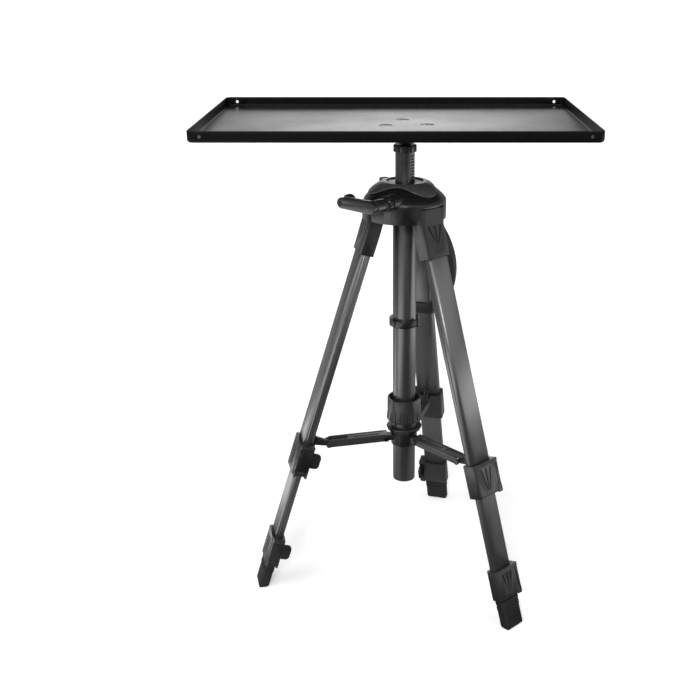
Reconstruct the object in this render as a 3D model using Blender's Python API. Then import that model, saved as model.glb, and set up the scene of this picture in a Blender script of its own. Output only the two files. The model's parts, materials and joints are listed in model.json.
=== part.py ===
"""Projector tripod stand: a sheet-metal tray on a geared column, with three folding legs.

Metres, +Z up. The stand is modelled round its column's axis and then shifted as a whole, so
that the floor is at z = 0 and the origin is below the middle of everything it covers.
Each leg is modelled in its own frame: the origin on the leg's hinge pin, +X outwards through
the wide face, +Y along the pin and -Z down the leg.
"""

from math import atan2, cos, pi, radians, sin, sqrt, tan

import bmesh
import bpy
from mathutils import Matrix, Vector

# Clearances and walls that many pieces share
GAP = 0.0003
PIN_GAP = 0.0003
CUT_MARGIN = 0.0100
LONG_EDGE = 0.0020
ROUND_STEPS = 24
SMALL_STEPS = 16

# Legs: places and splay
LEG_NAMES = ("right", "back", "left")
FIRST_LEG_AZIMUTH = radians(-46.2)
LEG_SPLAY = radians(17.7)
LEG_PIVOT_RADIUS = 0.031
LEG_LENGTH = 0.450
PIVOT_HEIGHT = LEG_LENGTH * cos(LEG_SPLAY)
LEG_PITCH = 2 * pi / len(LEG_NAMES)

# Leg tubes: each section slides in the one above it
UPPER_HALF_WIDTH = 0.0138
UPPER_HALF_DEPTH = 0.0064
UPPER_CORNER = 0.0040
LEAST_CORNER = 0.0010
TUBE_WALL = 0.0009
SECTION_STEP = TUBE_WALL + GAP
FACE_CROWN = 0.0005
GROOVE_WIDTH = 0.0016
GROOVE_DEPTH = 0.0006
UPPER_TUBE_START = 0.0325
MIDDLE_TUBE_START = 0.125
LOWER_TUBE_START = 0.180

# Leg fittings at the head
KNUCKLE_RADIUS = 0.0072
FITTING_HALF_WIDTH = 0.0162
FITTING_LENGTH = 0.046
FITTING_WALL = 0.0012
FITTING_NOSE = 0.0117
FITTING_NOSE_RISE = 0.0066
FITTING_NOSE_DROP = 0.0100
FITTING_INNER_DROP = 0.0220
FITTING_EDGE = 0.0034
HINGE_PIN_RADIUS = 0.0025
HINGE_PIN_INSET = 0.0005
HINGE_CLEARANCE = 0.0005
FLUTE_COUNT = 3
FLUTE_WIDTH = 0.0022
FLUTE_DEPTH = 0.0010
FLUTE_TAPER = 0.25
FITTING_FLUTE_SPREAD = 0.0085
FITTING_FLUTE_TOP = 0.0140
FITTING_FLUTE_BOTTOM = 0.0320

# Leg locks: collars with a flip lever on one side
UPPER_LOCK_START = 0.266
UPPER_LOCK_END = 0.302
LOWER_LOCK_START = 0.3840
LOWER_LOCK_END = 0.4170
LOCK_INNER_WALL = 0.0017
LOCK_OUTER_WALL = 0.0022
LOCK_SIDE_WALL = 0.0024
LOCK_SHOULDER = 0.0045
LOCK_THROAT = 0.0090
LOCK_CORNER = 0.0030
LOCK_SHOULDER_ROUND = 0.0015
LOCK_FLUTE_MARGIN = 0.0060
TUBE_END_GAP = 0.0010
LOCK_EAR = 0.0024
LOCK_EAR_DROP = 0.0020
LOCK_EAR_INSET = 0.0004
LOCK_EAR_ROUND = 0.0019
LEVER_PIN_RADIUS = 0.0011
LEVER_KNUCKLE = 0.0022
LEVER_THICKNESS = 0.0036
LEVER_TAB_THICKNESS = 0.0026
LEVER_TAB_LENGTH = 0.0175
LEVER_TAB_REACH = 0.0095
LEVER_TAB_RISE = 0.0015
LEVER_TAB_CORNER = 0.0045
LEVER_EDGE = 0.0007
LEVER_PIN_RISE = 0.0030

# Feet
FOOT_START = 0.4190
FOOT_WALL = 0.0013
FOOT_FLOOR = 0.0040
FOOT_REACH = 0.0500
FOOT_ROUND = 0.0022

# Brace between the legs
BRACE_TAP = 0.265
TONGUE_REACH = 0.0255
TONGUE_HALF_WIDTH = 0.0026
TONGUE_END = 0.0028
TONGUE_ROOT = 0.0140
TONGUE_NECK_SHARE = 0.32
TONGUE_NECK = 0.0045
ARM_PIVOT_RADIUS = 0.022
ARM_HALF_WIDTH = 0.007
ARM_WALL = 0.0013
ARM_ABOVE = 0.0048
ARM_BELOW = 0.0028
ARM_END = 0.0029
ARM_FORK_LENGTH = 0.022
ARM_RIVET_RADIUS = 0.0018
RIVET_HEAD_RADIUS = 0.0030
RIVET_HEAD_HEIGHT = 0.0010
HUB_SLEEVE_RADIUS = 0.0145
HUB_FLANGE_RADIUS = 0.0198
HUB_FLANGE_THICKNESS = 0.0045
HUB_FLANGE_RISE = 0.0085
HUB_FLANGE_SLANT = 0.0015
HUB_FLANGE_EDGE = 0.0010
HUB_LUG_ROOT = 0.0008
HUB_DROP = 0.0090
HUB_NECK_TOP = 0.0300
LOCK_COLLAR_RISE = 0.0205
LOCK_COLLAR_HEIGHT = 0.0265
LOCK_COLLAR_RADIUS = 0.0186
LOCK_COLLAR_FLARE = 0.0010
LOCK_COLLAR_WALL = 0.0016
LOCK_COLLAR_FLOOR = 0.0040
LOCK_COLLAR_EDGE = 0.0010
LOCK_COLLAR_RIBS = 18
LOCK_COLLAR_RIB_WIDTH = 0.0016
LOCK_COLLAR_RIB_HEIGHT = 0.0100
LOCK_COLLAR_RIB_RISE = 0.0020
LOCK_COLLAR_RIB_DEPTH = 0.0007

# Head
HEAD_RADIUS = 0.0430
HEAD_TOP_RISE = 0.0293
DOME_FLAT_RADIUS = 0.0215
DOME_HEIGHT = 0.0150
DOME_POWER = 1.50
COVER_THICKNESS = 0.0014
COVER_CLEARANCE = 0.0012
COVER_HOLE_RADIUS = 0.0190
COVER_EDGE_RADIUS = 0.0330
COVER_EDGE_LOBE = 0.0060
COVER_STEPS = 36
LUG_THICKNESS = 0.0060
LUG_DROP = 0.0080
LUG_ROOT = 0.0060
HEAD_CORE_RADIUS = 0.0300
HEAD_CORE_LIFT = 0.0020
HEAD_SKIRT_WALL = 0.0034
HEAD_SHOULDER = 0.0018
SLOT_INNER_RADIUS = 0.0212

# Column: outer tube, bush and geared inner tube
OUTER_TUBE_RADIUS = 0.0125
OUTER_TUBE_WALL = 0.0012
OUTER_TUBE_BOTTOM = 0.1150
OUTER_TUBE_RISE = 0.0050
INNER_TUBE_RADIUS = 0.0100
INNER_TUBE_BORE = 0.0070
INNER_TUBE_LENGTH = 0.262
BUSH_RADIUS = 0.0186
BUSH_BASE_RISE = 0.0060
BUSH_TOP_DROP = 0.0012
GEAR_MODULE = 0.0010
PINION_TEETH = 12
PINION_WIDTH = 0.0050
PINION_TIP_CLEARANCE = 0.0003
TOOTH_ROOT_SHARE = 0.46
TOOTH_TIP_SHARE = 0.22
RACK_AZIMUTH = radians(-40.0)
RACK_FLAT_WIDTH = 0.0070
RACK_NOTCH_WIDTH = 0.0056
RACK_NOTCH_DEPTH = 0.0015
RACK_NOTCH_MOUTH_SHARE = 0.62
RACK_NOTCH_ROOT_SHARE = 0.46
RACK_MESH_DEPTH = 0.0012
RACK_END_MARGIN = 0.0100
RACK_TOP_MARGIN = 0.0030
CLIP_HEIGHT = 0.0080
CLIP_BOTTOM = 0.3010
CLIP_RADIUS = 0.0164
CLIP_MOUTH = 0.0150
CLIP_LIP_RADIUS = 0.0022

# Crank
CRANK_RISE = 0.0146
CRANK_BOSS_RADIUS = 0.0085
CRANK_BOSS_END = 0.0430
CRANK_SHAFT_RADIUS = 0.0030
CRANK_SHAFT_BACK = 0.0150
CRANK_NUT_RADIUS = 0.0082
CRANK_NUT_LENGTH = 0.0065
CRANK_NUT_FLUTES = 8
CRANK_NUT_FLUTE = 0.0009
CRANK_NUT_EDGE = 0.0008
CRANK_HUB_RADIUS = 0.0068
CRANK_ARM_LENGTH = 0.0380
CRANK_ARM_THICKNESS = 0.0085
CRANK_ARM_END = 0.0728
CRANK_ARM_HEIGHT = 0.0120
CRANK_ARM_TAPER = 0.0005
CRANK_ARM_EDGE = 0.0010
CRANK_HUB_WALL = 0.0020
CRANK_KNOB_RADIUS = 0.0068
CRANK_KNOB_LENGTH = 0.0090
CRANK_KNOB_EDGE = 0.0015
KNOB_PIN_RADIUS = 0.0020
KNOB_PIN_HEAD_RADIUS = 0.0034
KNOB_PIN_HEAD_HEIGHT = 0.0012
KNOB_PIN_INSET = 0.0005

# Bubble level
LEVEL_AZIMUTH = radians(138.0)
LEVEL_PLACE_RADIUS = 0.0285
LEVEL_RADIUS = 0.0056
LEVEL_PROUD = 0.0016
LEVEL_SEAT_DROP = 0.0075
LEVEL_RIM = 0.0010

# Column top: collar, stud and tray
COLLAR_RADIUS = 0.0120
COLLAR_HEIGHT = 0.0077
COLLAR_TOP_RISE = 0.0370
COLLAR_SKIRT = 0.0030
COLLAR_FLUTES = 12
COLLAR_FLUTE_RADIUS = 0.0009
COLLAR_EDGE = 0.0010
COLLAR_FOOT_EDGE = 0.0006
STUD_RADIUS = 0.00318
STUD_DEPTH = 0.0140
STUD_TOP_GAP = 0.0005
STUD_PLUG_HALF = 0.0040
LOCK_NUT_RADIUS = 0.0066
LOCK_NUT_HEIGHT = 0.0034
TRAY_WIDTH = 0.380
TRAY_DEPTH = 0.2424
TRAY_WALL_HEIGHT = 0.0108
TRAY_SHEET = 0.0012
TRAY_CORNER = 0.0060
TRAY_SHIFT = (-0.0095, 0.0085)
TRAY_HOLE_RADIUS = 0.0016
TRAY_HOLE_INSET = 0.0120
TRAY_HOLE_RISE = 0.0058
PLATE_RADIUS = 0.0340
PLATE_THICKNESS = 0.0040
PLATE_BOSS_RADIUS = 0.0115
PLATE_BOSS_HEIGHT = 0.0115
TRAY_SCREW_CIRCLE = 0.0240
TRAY_SCREW_AZIMUTH = radians(-24.0)
TRAY_SCREW_RADIUS = 0.0020
TRAY_SCREW_HEAD_RADIUS = 0.0062
TRAY_SCREW_HEAD_DROP = 0.0003
TRAY_SCREW_NECK_RADIUS = 0.0044
TRAY_SCREW_LENGTH = 0.0042
SCREW_STEPS = 16
SCREW_SOCKET_RADIUS = 0.0014
SCREW_SOCKET_DEPTH = 0.0012

# Carrying handle on the back leg
HANDLE_LEG = "back"
HANDLE_TOP = 0.0225
HANDLE_BOTTOM = 0.1340
HANDLE_BULGE = 0.0177
HANDLE_WIDTH = 0.0110
HANDLE_THICKNESS = 0.0085
HANDLE_FOOT_LENGTH = 0.0110
HANDLE_STEPS = 14
HANDLE_BOW_POWER = 0.70
HANDLE_STAND_OFF = 0.0012
BAND_HEIGHT = 0.0140
BAND_WALL = 0.0020

# Finishes: colour, roughness, metallic
FINISHES = {
    "black_plastic": ((0.035, 0.035, 0.038), 0.55, 0.0),
    "grey_plastic": ((0.085, 0.085, 0.090), 0.50, 0.0),
    "leg_aluminium": ((0.190, 0.190, 0.200), 0.38, 0.85),
    "column_aluminium": ((0.160, 0.160, 0.168), 0.32, 0.90),
    "tray_paint": ((0.020, 0.020, 0.021), 0.42, 0.0),
    "steel": ((0.450, 0.450, 0.460), 0.30, 1.0),
    "dark_steel": ((0.100, 0.100, 0.105), 0.35, 0.90),
    "rubber": ((0.028, 0.028, 0.030), 0.75, 0.0),
    "level_glass": ((0.550, 0.680, 0.180), 0.10, 0.0),
}


def clear_scene():
    for old in list(bpy.data.objects):
        bpy.data.objects.remove(old, do_unlink=True)


# Outlines, as lists of (x, y) points that run anticlockwise


def arc(centre_x, centre_y, radius, start, end, steps):
    turns = [start + (end - start) * step / steps for step in range(steps + 1)]
    return [(centre_x + radius * cos(a), centre_y + radius * sin(a)) for a in turns]


def rounded_rectangle(half_x, half_y, radius, steps=3):
    points = []
    for quarter, (side_x, side_y) in enumerate(((1, 1), (-1, 1), (-1, -1), (1, -1))):
        centre = (side_x * (half_x - radius), side_y * (half_y - radius))
        start = quarter * pi / 2
        points += arc(*centre, radius, start, start + pi / 2, steps)
    return points


def section_corner(inset):
    return max(UPPER_CORNER - inset / 2, LEAST_CORNER)


def leg_section(inset, grooves=True):
    """The outline of a leg tube that lies inset within the upper tube's outline."""
    half_depth = UPPER_HALF_DEPTH - inset
    half_width = UPPER_HALF_WIDTH - inset
    corner = section_corner(inset)
    points = []
    for x, y in rounded_rectangle(half_depth, half_width, corner):
        crown = FACE_CROWN * (y / half_width) ** 2 if x > half_depth - corner else 0
        points.append((x - crown, y))
    if not grooves:
        return points
    edge = half_depth - corner
    steps = [(edge, 0), (edge, GROOVE_DEPTH)]
    steps += [(edge - GROOVE_WIDTH, GROOVE_DEPTH), (edge - GROOVE_WIDTH, 0)]
    top = [(x - GROOVE_WIDTH / 4, half_width - depth) for x, depth in steps]
    bottom = [(x, -y) for x, y in reversed(top)]
    return points[:4] + top + points[4:12] + bottom + points[12:]


# Closed shapes, each a bmesh


def closed(shape):
    bmesh.ops.remove_doubles(shape, verts=shape.verts, dist=1e-6)
    bmesh.ops.recalc_face_normals(shape, faces=shape.faces)
    return shape


def prism(outline, low, high):
    """An outline in the XY plane, extruded from z = low to z = high."""
    shape = bmesh.new()
    face = shape.faces.new([shape.verts.new((x, y, low)) for x, y in outline])
    made = bmesh.ops.extrude_face_region(shape, geom=[face])["geom"]
    raised = [item for item in made if isinstance(item, bmesh.types.BMVert)]
    bmesh.ops.translate(shape, verts=raised, vec=(0, 0, high - low))
    return closed(shape)


def side_prism(outline, half_width, middle=0.0):
    """An outline in the XZ plane, extruded both ways along Y."""
    shape = prism(outline, -half_width, half_width)
    return moved(shape, Matrix.Translation((0, middle, 0)) @ Matrix.Rotation(pi / 2, 4, "X"))


def block(low, high):
    outline = [(low[0], low[1]), (high[0], low[1]), (high[0], high[1]), (low[0], high[1])]
    return prism(outline, low[2], high[2])


def lathe(profile, steps=ROUND_STEPS):
    """A closed profile of (radius, z) points, turned once round Z."""
    shape = bmesh.new()
    ring = [shape.verts.new((radius, 0, z)) for radius, z in profile]
    edges = [shape.edges.new((a, b)) for a, b in zip(ring, ring[1:] + ring[:1])]
    bmesh.ops.spin(
        shape, geom=ring + edges, axis=(0, 0, 1), cent=(0, 0, 0),
        angle=2 * pi, steps=steps, use_merge=True,
    )
    return closed(shape)


def rod(radius, low, high, steps=SMALL_STEPS):
    return prism(arc(0, 0, radius, 0, 2 * pi, steps)[:-1], low, high)


def tube(outer, inner, low, high, steps=ROUND_STEPS):
    return lathe([(inner, low), (outer, low), (outer, high), (inner, high)], steps)


def moved(shape, matrix):
    bmesh.ops.transform(shape, matrix=matrix, verts=shape.verts)
    return shape


def along_x(shape, x=0.0, y=0.0, z=0.0):
    """Turns a shape made along Z so that it lies along X, and moves it."""
    return moved(shape, Matrix.Translation((x, y, z)) @ Matrix.Rotation(pi / 2, 4, "Y"))


def along_y(shape, x=0.0, y=0.0, z=0.0):
    return moved(shape, Matrix.Translation((x, y, z)) @ Matrix.Rotation(-pi / 2, 4, "X"))


def turned(shape, azimuth):
    return moved(shape, Matrix.Rotation(azimuth, 4, "Z"))


def soften(shape, width, chosen, segments=2):
    """Rounds the edges for which chosen(edge) is true."""
    edges = [edge for edge in shape.edges if chosen(edge)]
    bmesh.ops.bevel(
        shape, geom=edges, affect="EDGES", offset=width, offset_type="OFFSET",
        segments=segments, profile=0.5, material=-1, clamp_overlap=True,
    )
    return shape


def mesh_from(shape, name):
    mesh = bpy.data.meshes.new(name)
    shape.to_mesh(mesh)
    shape.free()
    return mesh


def gathered(shapes):
    """Several shapes in one bmesh, still as separate bodies."""
    whole = bmesh.new()
    for shape in shapes:
        mesh = mesh_from(shape, "gathered")
        whole.from_mesh(mesh)
        bpy.data.meshes.remove(mesh)
    return whole


def combined(base, steps):
    """Joins shapes to a base or cuts them from it, in order, and returns the result."""
    scene = bpy.context.scene.collection
    target = bpy.data.objects.new("work", mesh_from(base, "work"))
    scene.objects.link(target)
    helpers = []
    for operation, shape in steps:
        helper = bpy.data.objects.new("helper", mesh_from(shape, "helper"))
        scene.objects.link(helper)
        helper.hide_render = True
        helper.display_type = "WIRE"
        modifier = target.modifiers.new(operation, "BOOLEAN")
        modifier.operation = operation
        modifier.object = helper
        helpers.append(helper)
    graph = bpy.context.evaluated_depsgraph_get()
    result = bmesh.new()
    result.from_mesh(bpy.data.meshes.new_from_object(target.evaluated_get(graph)))
    for old in helpers + [target]:
        bpy.data.objects.remove(old, do_unlink=True)
    bmesh.ops.dissolve_degenerate(result, dist=1e-6, edges=result.edges)
    return result


def cut(base, *shapes):
    return combined(base, [("DIFFERENCE", shape) for shape in shapes])


def joined(base, *shapes):
    return combined(base, [("UNION", shape) for shape in shapes])


def ring_of(count, make, start=0.0):
    """The same shape, made count times and spread round Z."""
    return gathered([turned(make(), start + 2 * pi * step / count) for step in range(count)])


# Objects


def finished_mesh(shape, name):
    mesh = mesh_from(shape, name)
    mesh.shade_smooth()
    mesh.set_sharp_from_angle(angle=radians(32))
    return mesh


def own_material(name, finish):
    colour, roughness, metallic = FINISHES[finish]
    material = bpy.data.materials.new(name + "_finish")
    material.use_nodes = True
    shader = material.node_tree.nodes["Principled BSDF"]
    shader.inputs["Base Color"].default_value = (*colour, 1.0)
    shader.inputs["Roughness"].default_value = roughness
    shader.inputs["Metallic"].default_value = metallic
    return material


def node(name, mesh, finish, parent):
    """A sub-part at its parent's origin, with a mesh that it may share."""
    piece = bpy.data.objects.new(name, mesh)
    bpy.context.scene.collection.objects.link(piece)
    piece.parent = parent
    if not mesh.materials:
        mesh.materials.append(None)
    piece.material_slots[0].link = "OBJECT"
    piece.material_slots[0].material = own_material(name, finish)
    return piece


def solid(name, shape, finish, parent):
    return node(name, finished_mesh(shape, name), finish, parent)


def frame(name, parent=None, location=(0, 0, 0), rotation=(0, 0, 0)):
    """An empty: the place of an axis, or of a group of pieces."""
    empty = bpy.data.objects.new(name, None)
    bpy.context.scene.collection.objects.link(empty)
    empty.parent = parent
    empty.location = location
    empty.rotation_euler = rotation
    return empty


# Places that several sub-parts share

head_top = PIVOT_HEIGHT + HEAD_TOP_RISE
slot_ceiling = PIVOT_HEIGHT + KNUCKLE_RADIUS + HINGE_CLEARANCE
slot_half_width = FITTING_HALF_WIDTH + GAP
lug_outer_half = slot_half_width + LUG_THICKNESS
head_bottom = PIVOT_HEIGHT - LUG_DROP
brace_pivot = Vector((
    LEG_PIVOT_RADIUS + BRACE_TAP * sin(LEG_SPLAY) - TONGUE_REACH * cos(LEG_SPLAY),
    0,
    PIVOT_HEIGHT - BRACE_TAP * cos(LEG_SPLAY) - TONGUE_REACH * sin(LEG_SPLAY),
))
arm_length = brace_pivot.x - ARM_PIVOT_RADIUS
collar_top = head_top + COLLAR_TOP_RISE
upper_tube_end = UPPER_LOCK_END - LOCK_THROAT - TUBE_END_GAP
middle_tube_end = LOWER_LOCK_END - LOCK_THROAT - TUBE_END_GAP
rack_face = sqrt(INNER_TUBE_RADIUS**2 - (RACK_FLAT_WIDTH / 2) ** 2)
pinion_radius = GEAR_MODULE * PINION_TEETH / 2
pinion_tip = pinion_radius + GEAR_MODULE - PINION_TIP_CLEARANCE
crank_offset = rack_face - RACK_MESH_DEPTH + pinion_tip
crank_height = PIVOT_HEIGHT + CRANK_RISE
bush_bottom = PIVOT_HEIGHT + BUSH_BASE_RISE
bush_top = head_top - BUSH_TOP_DROP
bush_bore = INNER_TUBE_RADIUS + GAP


def leg_azimuth(index):
    return FIRST_LEG_AZIMUTH + LEG_PITCH * index


def crank_frame_matrix():
    """Z runs out along the crank's shaft, and X points from the column to the pinion."""
    place = Matrix.Translation(
        (crank_offset * cos(RACK_AZIMUTH), crank_offset * sin(RACK_AZIMUTH), crank_height)
    )
    return place @ Matrix.Rotation(RACK_AZIMUTH, 4, "Z") @ Matrix.Rotation(pi / 2, 4, "X")


def along_crank(shape):
    return moved(shape, crank_frame_matrix())


# Head


def dome_height(radius):
    """The height of the cover's outside at a radius: flat round the hole, then a bell."""
    share = max(0.0, (radius - DOME_FLAT_RADIUS) / (HEAD_RADIUS - DOME_FLAT_RADIUS))
    return head_top - DOME_HEIGHT * share**DOME_POWER


def cover_edge(azimuth):
    """The radius of the cover's edge, which has a lobe over each leg."""
    turn = len(LEG_NAMES) * (azimuth - FIRST_LEG_AZIMUTH)
    return COVER_EDGE_RADIUS + COVER_EDGE_LOBE * cos(turn)


def head_cover(parent):
    """One three-lobed surface on the dome, given its wall by solidifying it inwards."""
    rings = 4
    shape = bmesh.new()
    rows = []
    for step in range(COVER_STEPS):
        azimuth = FIRST_LEG_AZIMUTH + 2 * pi * step / COVER_STEPS
        reach = cover_edge(azimuth) - DOME_FLAT_RADIUS
        radii = [COVER_HOLE_RADIUS]
        radii += [DOME_FLAT_RADIUS + reach * ring / (rings - 1) for ring in range(rings)]
        rows.append([
            shape.verts.new((radius * cos(azimuth), radius * sin(azimuth), dome_height(radius)))
            for radius in radii
        ])
    for row, after in zip(rows, rows[1:] + rows[:1]):
        for index in range(rings):
            shape.faces.new((row[index], row[index + 1], after[index + 1], after[index]))
    bmesh.ops.recalc_face_normals(shape, faces=shape.faces)
    bmesh.ops.solidify(shape, geom=shape.faces, thickness=COVER_THICKNESS)
    hole = rod(LEVEL_RADIUS + GAP, head_top - DOME_HEIGHT, head_top + DOME_HEIGHT)
    shape = cut(closed(shape), moved(hole, Matrix.Translation(level_place())))
    solid("head_cover", shape, "grey_plastic", parent)


def level_place():
    reach = LEVEL_PLACE_RADIUS
    return (reach * cos(LEVEL_AZIMUTH), reach * sin(LEVEL_AZIMUTH), 0)


def head_core():
    """The bell of the body: a skirt, and a crown turned to follow the cover's inside."""
    inside = COVER_THICKNESS + COVER_CLEARANCE
    skirt_bore = HEAD_RADIUS - HEAD_SKIRT_WALL
    radii = [HEAD_RADIUS - (HEAD_RADIUS - DOME_FLAT_RADIUS) * share for share in (0.1, 0.3, 0.5, 0.7)]
    profile = [(0.0, slot_ceiling - GAP), (skirt_bore, slot_ceiling - GAP)]
    profile += [(skirt_bore, head_bottom), (HEAD_RADIUS, head_bottom)]
    rim = dome_height(HEAD_RADIUS) - inside
    profile += [
        (HEAD_RADIUS, rim - HEAD_SHOULDER),
        (HEAD_RADIUS - HEAD_SHOULDER / 3, rim),
    ]
    profile += [(radius, dome_height(radius) - inside) for radius in radii]
    profile += [(DOME_FLAT_RADIUS, head_top - inside), (0.0, head_top - inside)]
    return lathe(profile, COVER_STEPS)


def head_lugs():
    """Two lugs either side of each leg, which carry its hinge pin."""
    skirt_middle = HEAD_RADIUS - HEAD_SKIRT_WALL / 2
    lugs = []
    for index in range(len(LEG_NAMES)):
        inner = sqrt(HEAD_CORE_RADIUS**2 - slot_half_width**2) - LUG_ROOT
        for side in (1, -1):
            root, face = side * (slot_half_width - GAP), side * lug_outer_half
            outer = sqrt(skirt_middle**2 - face**2)
            lug = block(
                (inner, min(root, face), head_bottom), (outer, max(root, face), slot_ceiling)
            )
            lugs.append(turned(lug, leg_azimuth(index)))
    return lugs


def head_slots():
    """The three slots that the legs swing in, open outwards and below."""
    low = head_bottom - CUT_MARGIN
    return ring_of(
        len(LEG_NAMES),
        lambda: block(
            (SLOT_INNER_RADIUS, -slot_half_width, low),
            (HEAD_RADIUS * 2, slot_half_width, slot_ceiling),
        ),
        FIRST_LEG_AZIMUTH,
    )


def head_body(parent):
    core_low = head_bottom + HEAD_CORE_LIFT
    core = rod(HEAD_CORE_RADIUS, core_low, slot_ceiling + 2 * GAP, ROUND_STEPS)
    pin_holes = ring_of(
        len(LEG_NAMES),
        lambda: along_y(
            rod(HINGE_PIN_RADIUS + PIN_GAP, -lug_outer_half - GAP, lug_outer_half + GAP),
            LEG_PIVOT_RADIUS, 0, PIVOT_HEIGHT,
        ),
        FIRST_LEG_AZIMUTH,
    )
    boss = along_crank(rod(CRANK_BOSS_RADIUS, INNER_TUBE_RADIUS, CRANK_BOSS_END))
    shape = joined(head_core(), core, *head_lugs(), boss)
    level_hole = moved(
        rod(LEVEL_RADIUS + GAP, head_top - LEVEL_SEAT_DROP, head_top + DOME_HEIGHT),
        Matrix.Translation(level_place()),
    )
    shape = cut(
        shape,
        head_slots(),
        rod(OUTER_TUBE_RADIUS + GAP, 0, bush_bottom + GAP, ROUND_STEPS),
        rod(BUSH_RADIUS + GAP, bush_bottom - GAP, head_top * 2, ROUND_STEPS),
        pin_holes,
        pinion_pocket(),
        shaft_hole(),
        level_hole,
    )
    solid("head_body", shape, "black_plastic", parent)


def pinion_pocket():
    half = PINION_WIDTH / 2 + GAP
    return along_crank(rod(pinion_tip + 2 * GAP, -half, half, ROUND_STEPS))


def shaft_hole():
    return along_crank(
        rod(CRANK_SHAFT_RADIUS + GAP, -CRANK_SHAFT_BACK - GAP, CRANK_BOSS_END * 2)
    )


def hinge_pin_mesh():
    half = lug_outer_half - HINGE_PIN_INSET
    return finished_mesh(along_y(rod(HINGE_PIN_RADIUS, -half, half)), "hinge_pin")


def bubble_level(parent):
    low = head_top - LEVEL_SEAT_DROP + GAP
    top = dome_height(LEVEL_PLACE_RADIUS) + LEVEL_PROUD
    shape = rod(LEVEL_RADIUS, low, top, SMALL_STEPS)
    dish = rod(LEVEL_RADIUS - LEVEL_RIM, top - LEVEL_RIM, top + LEVEL_RIM)
    window = rod(LEVEL_RADIUS - 2 * LEVEL_RIM, top - LEVEL_RIM - GAP, top - LEVEL_RIM / 2)
    shape = joined(cut(shape, dish), window)
    solid("bubble_level", moved(shape, Matrix.Translation(level_place())), "level_glass", parent)


# Column


def outer_tube(parent):
    top = PIVOT_HEIGHT + OUTER_TUBE_RISE
    shape = tube(OUTER_TUBE_RADIUS, OUTER_TUBE_RADIUS - OUTER_TUBE_WALL, OUTER_TUBE_BOTTOM, top)
    solid("column_tube", shape, "column_aluminium", parent)


def column_bush(parent):
    shape = tube(BUSH_RADIUS, bush_bore, bush_bottom, bush_top)
    shape = cut(shape, pinion_pocket(), shaft_hole())
    solid("column_bush", shape, "grey_plastic", parent)


def column_clip(parent):
    """A sprung plastic ring on the tube, open on its right side."""
    inner = OUTER_TUBE_RADIUS + GAP
    top = CLIP_BOTTOM + CLIP_HEIGHT
    shape = tube(CLIP_RADIUS, inner, CLIP_BOTTOM, top)
    mouth = block((0, -CLIP_MOUTH / 2, 0), (CLIP_RADIUS * 2, CLIP_MOUTH / 2, head_top))
    shape = cut(shape, mouth)
    middle = (CLIP_RADIUS + inner) / 2
    place_x = sqrt(middle**2 - (CLIP_MOUTH / 2) ** 2)
    lips = []
    for side in (1, -1):
        lip = rod(CLIP_LIP_RADIUS, CLIP_BOTTOM, top, SMALL_STEPS)
        place = (place_x + CLIP_LIP_RADIUS / 2, side * (CLIP_MOUTH / 2 + CLIP_LIP_RADIUS / 2), 0)
        lips.append(moved(lip, Matrix.Translation(place)))
    solid("column_clip", joined(shape, *lips), "black_plastic", parent)


def geared_column(parent):
    """The inner tube, with a flat down one side that is notched as a rack."""
    bottom = collar_top - COLLAR_HEIGHT - INNER_TUBE_LENGTH
    top = collar_top - COLLAR_SKIRT - GAP
    flat_turn = atan2(RACK_FLAT_WIDTH / 2, rack_face)
    outline = arc(0, 0, INNER_TUBE_RADIUS, flat_turn, 2 * pi - flat_turn, ROUND_STEPS - 3)
    tube_shape = prism(outline, bottom, top)
    bore = rod(INNER_TUBE_BORE, bottom - GAP, top + GAP, ROUND_STEPS)
    pitch = pi * GEAR_MODULE
    notches = []
    first = crank_height - pitch * int((crank_height - bottom - RACK_END_MARGIN) / pitch)
    count = int((top - RACK_TOP_MARGIN - first) / pitch)
    for step in range(count):
        z = first + step * pitch
        wide = RACK_NOTCH_MOUTH_SHARE * pitch / 2
        narrow = RACK_NOTCH_ROOT_SHARE * pitch / 2
        outline = [
            (rack_face - RACK_NOTCH_DEPTH, -narrow), (rack_face + GAP, -wide),
            (rack_face + GAP, wide), (rack_face - RACK_NOTCH_DEPTH, narrow),
        ]
        notch = side_prism(outline, RACK_NOTCH_WIDTH / 2)
        notches.append(moved(notch, Matrix.Translation((0, 0, z))))
    shape = cut(cut(tube_shape, bore), gathered(notches))
    solid("geared_column", turned(shape, RACK_AZIMUTH), "column_aluminium", parent)


def column_collar(parent):
    """The knurled collar that caps the inner tube and holds the tray's stud."""
    low = collar_top - COLLAR_HEIGHT
    skirt_bore = INNER_TUBE_RADIUS + GAP
    bore = STUD_RADIUS + GAP
    profile = [
        (skirt_bore, low), (COLLAR_RADIUS, low + COLLAR_FOOT_EDGE),
        (COLLAR_RADIUS, collar_top - COLLAR_EDGE), (COLLAR_RADIUS - COLLAR_EDGE, collar_top),
        (bore, collar_top),
        (bore, collar_top - COLLAR_SKIRT), (skirt_bore, collar_top - COLLAR_SKIRT),
    ]
    flutes = ring_of(
        COLLAR_FLUTES,
        lambda: moved(
            rod(COLLAR_FLUTE_RADIUS, low - GAP, collar_top + GAP, 6),
            Matrix.Translation((COLLAR_RADIUS, 0, 0)),
        ),
    )
    shape = cut(lathe(profile, COLLAR_FLUTES * 2), flutes)
    solid("column_collar", shape, "dark_steel", parent)


def tray_stud(parent):
    top = tray_floor_bottom() - GAP - STUD_TOP_GAP
    low = collar_top - STUD_DEPTH
    plug_radius = INNER_TUBE_BORE - GAP
    plug = rod(plug_radius, low - STUD_PLUG_HALF, low + STUD_PLUG_HALF, ROUND_STEPS)
    shape = joined(rod(STUD_RADIUS, low, top), plug)
    solid("tray_stud", shape, "steel", parent)


# Crank


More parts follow.
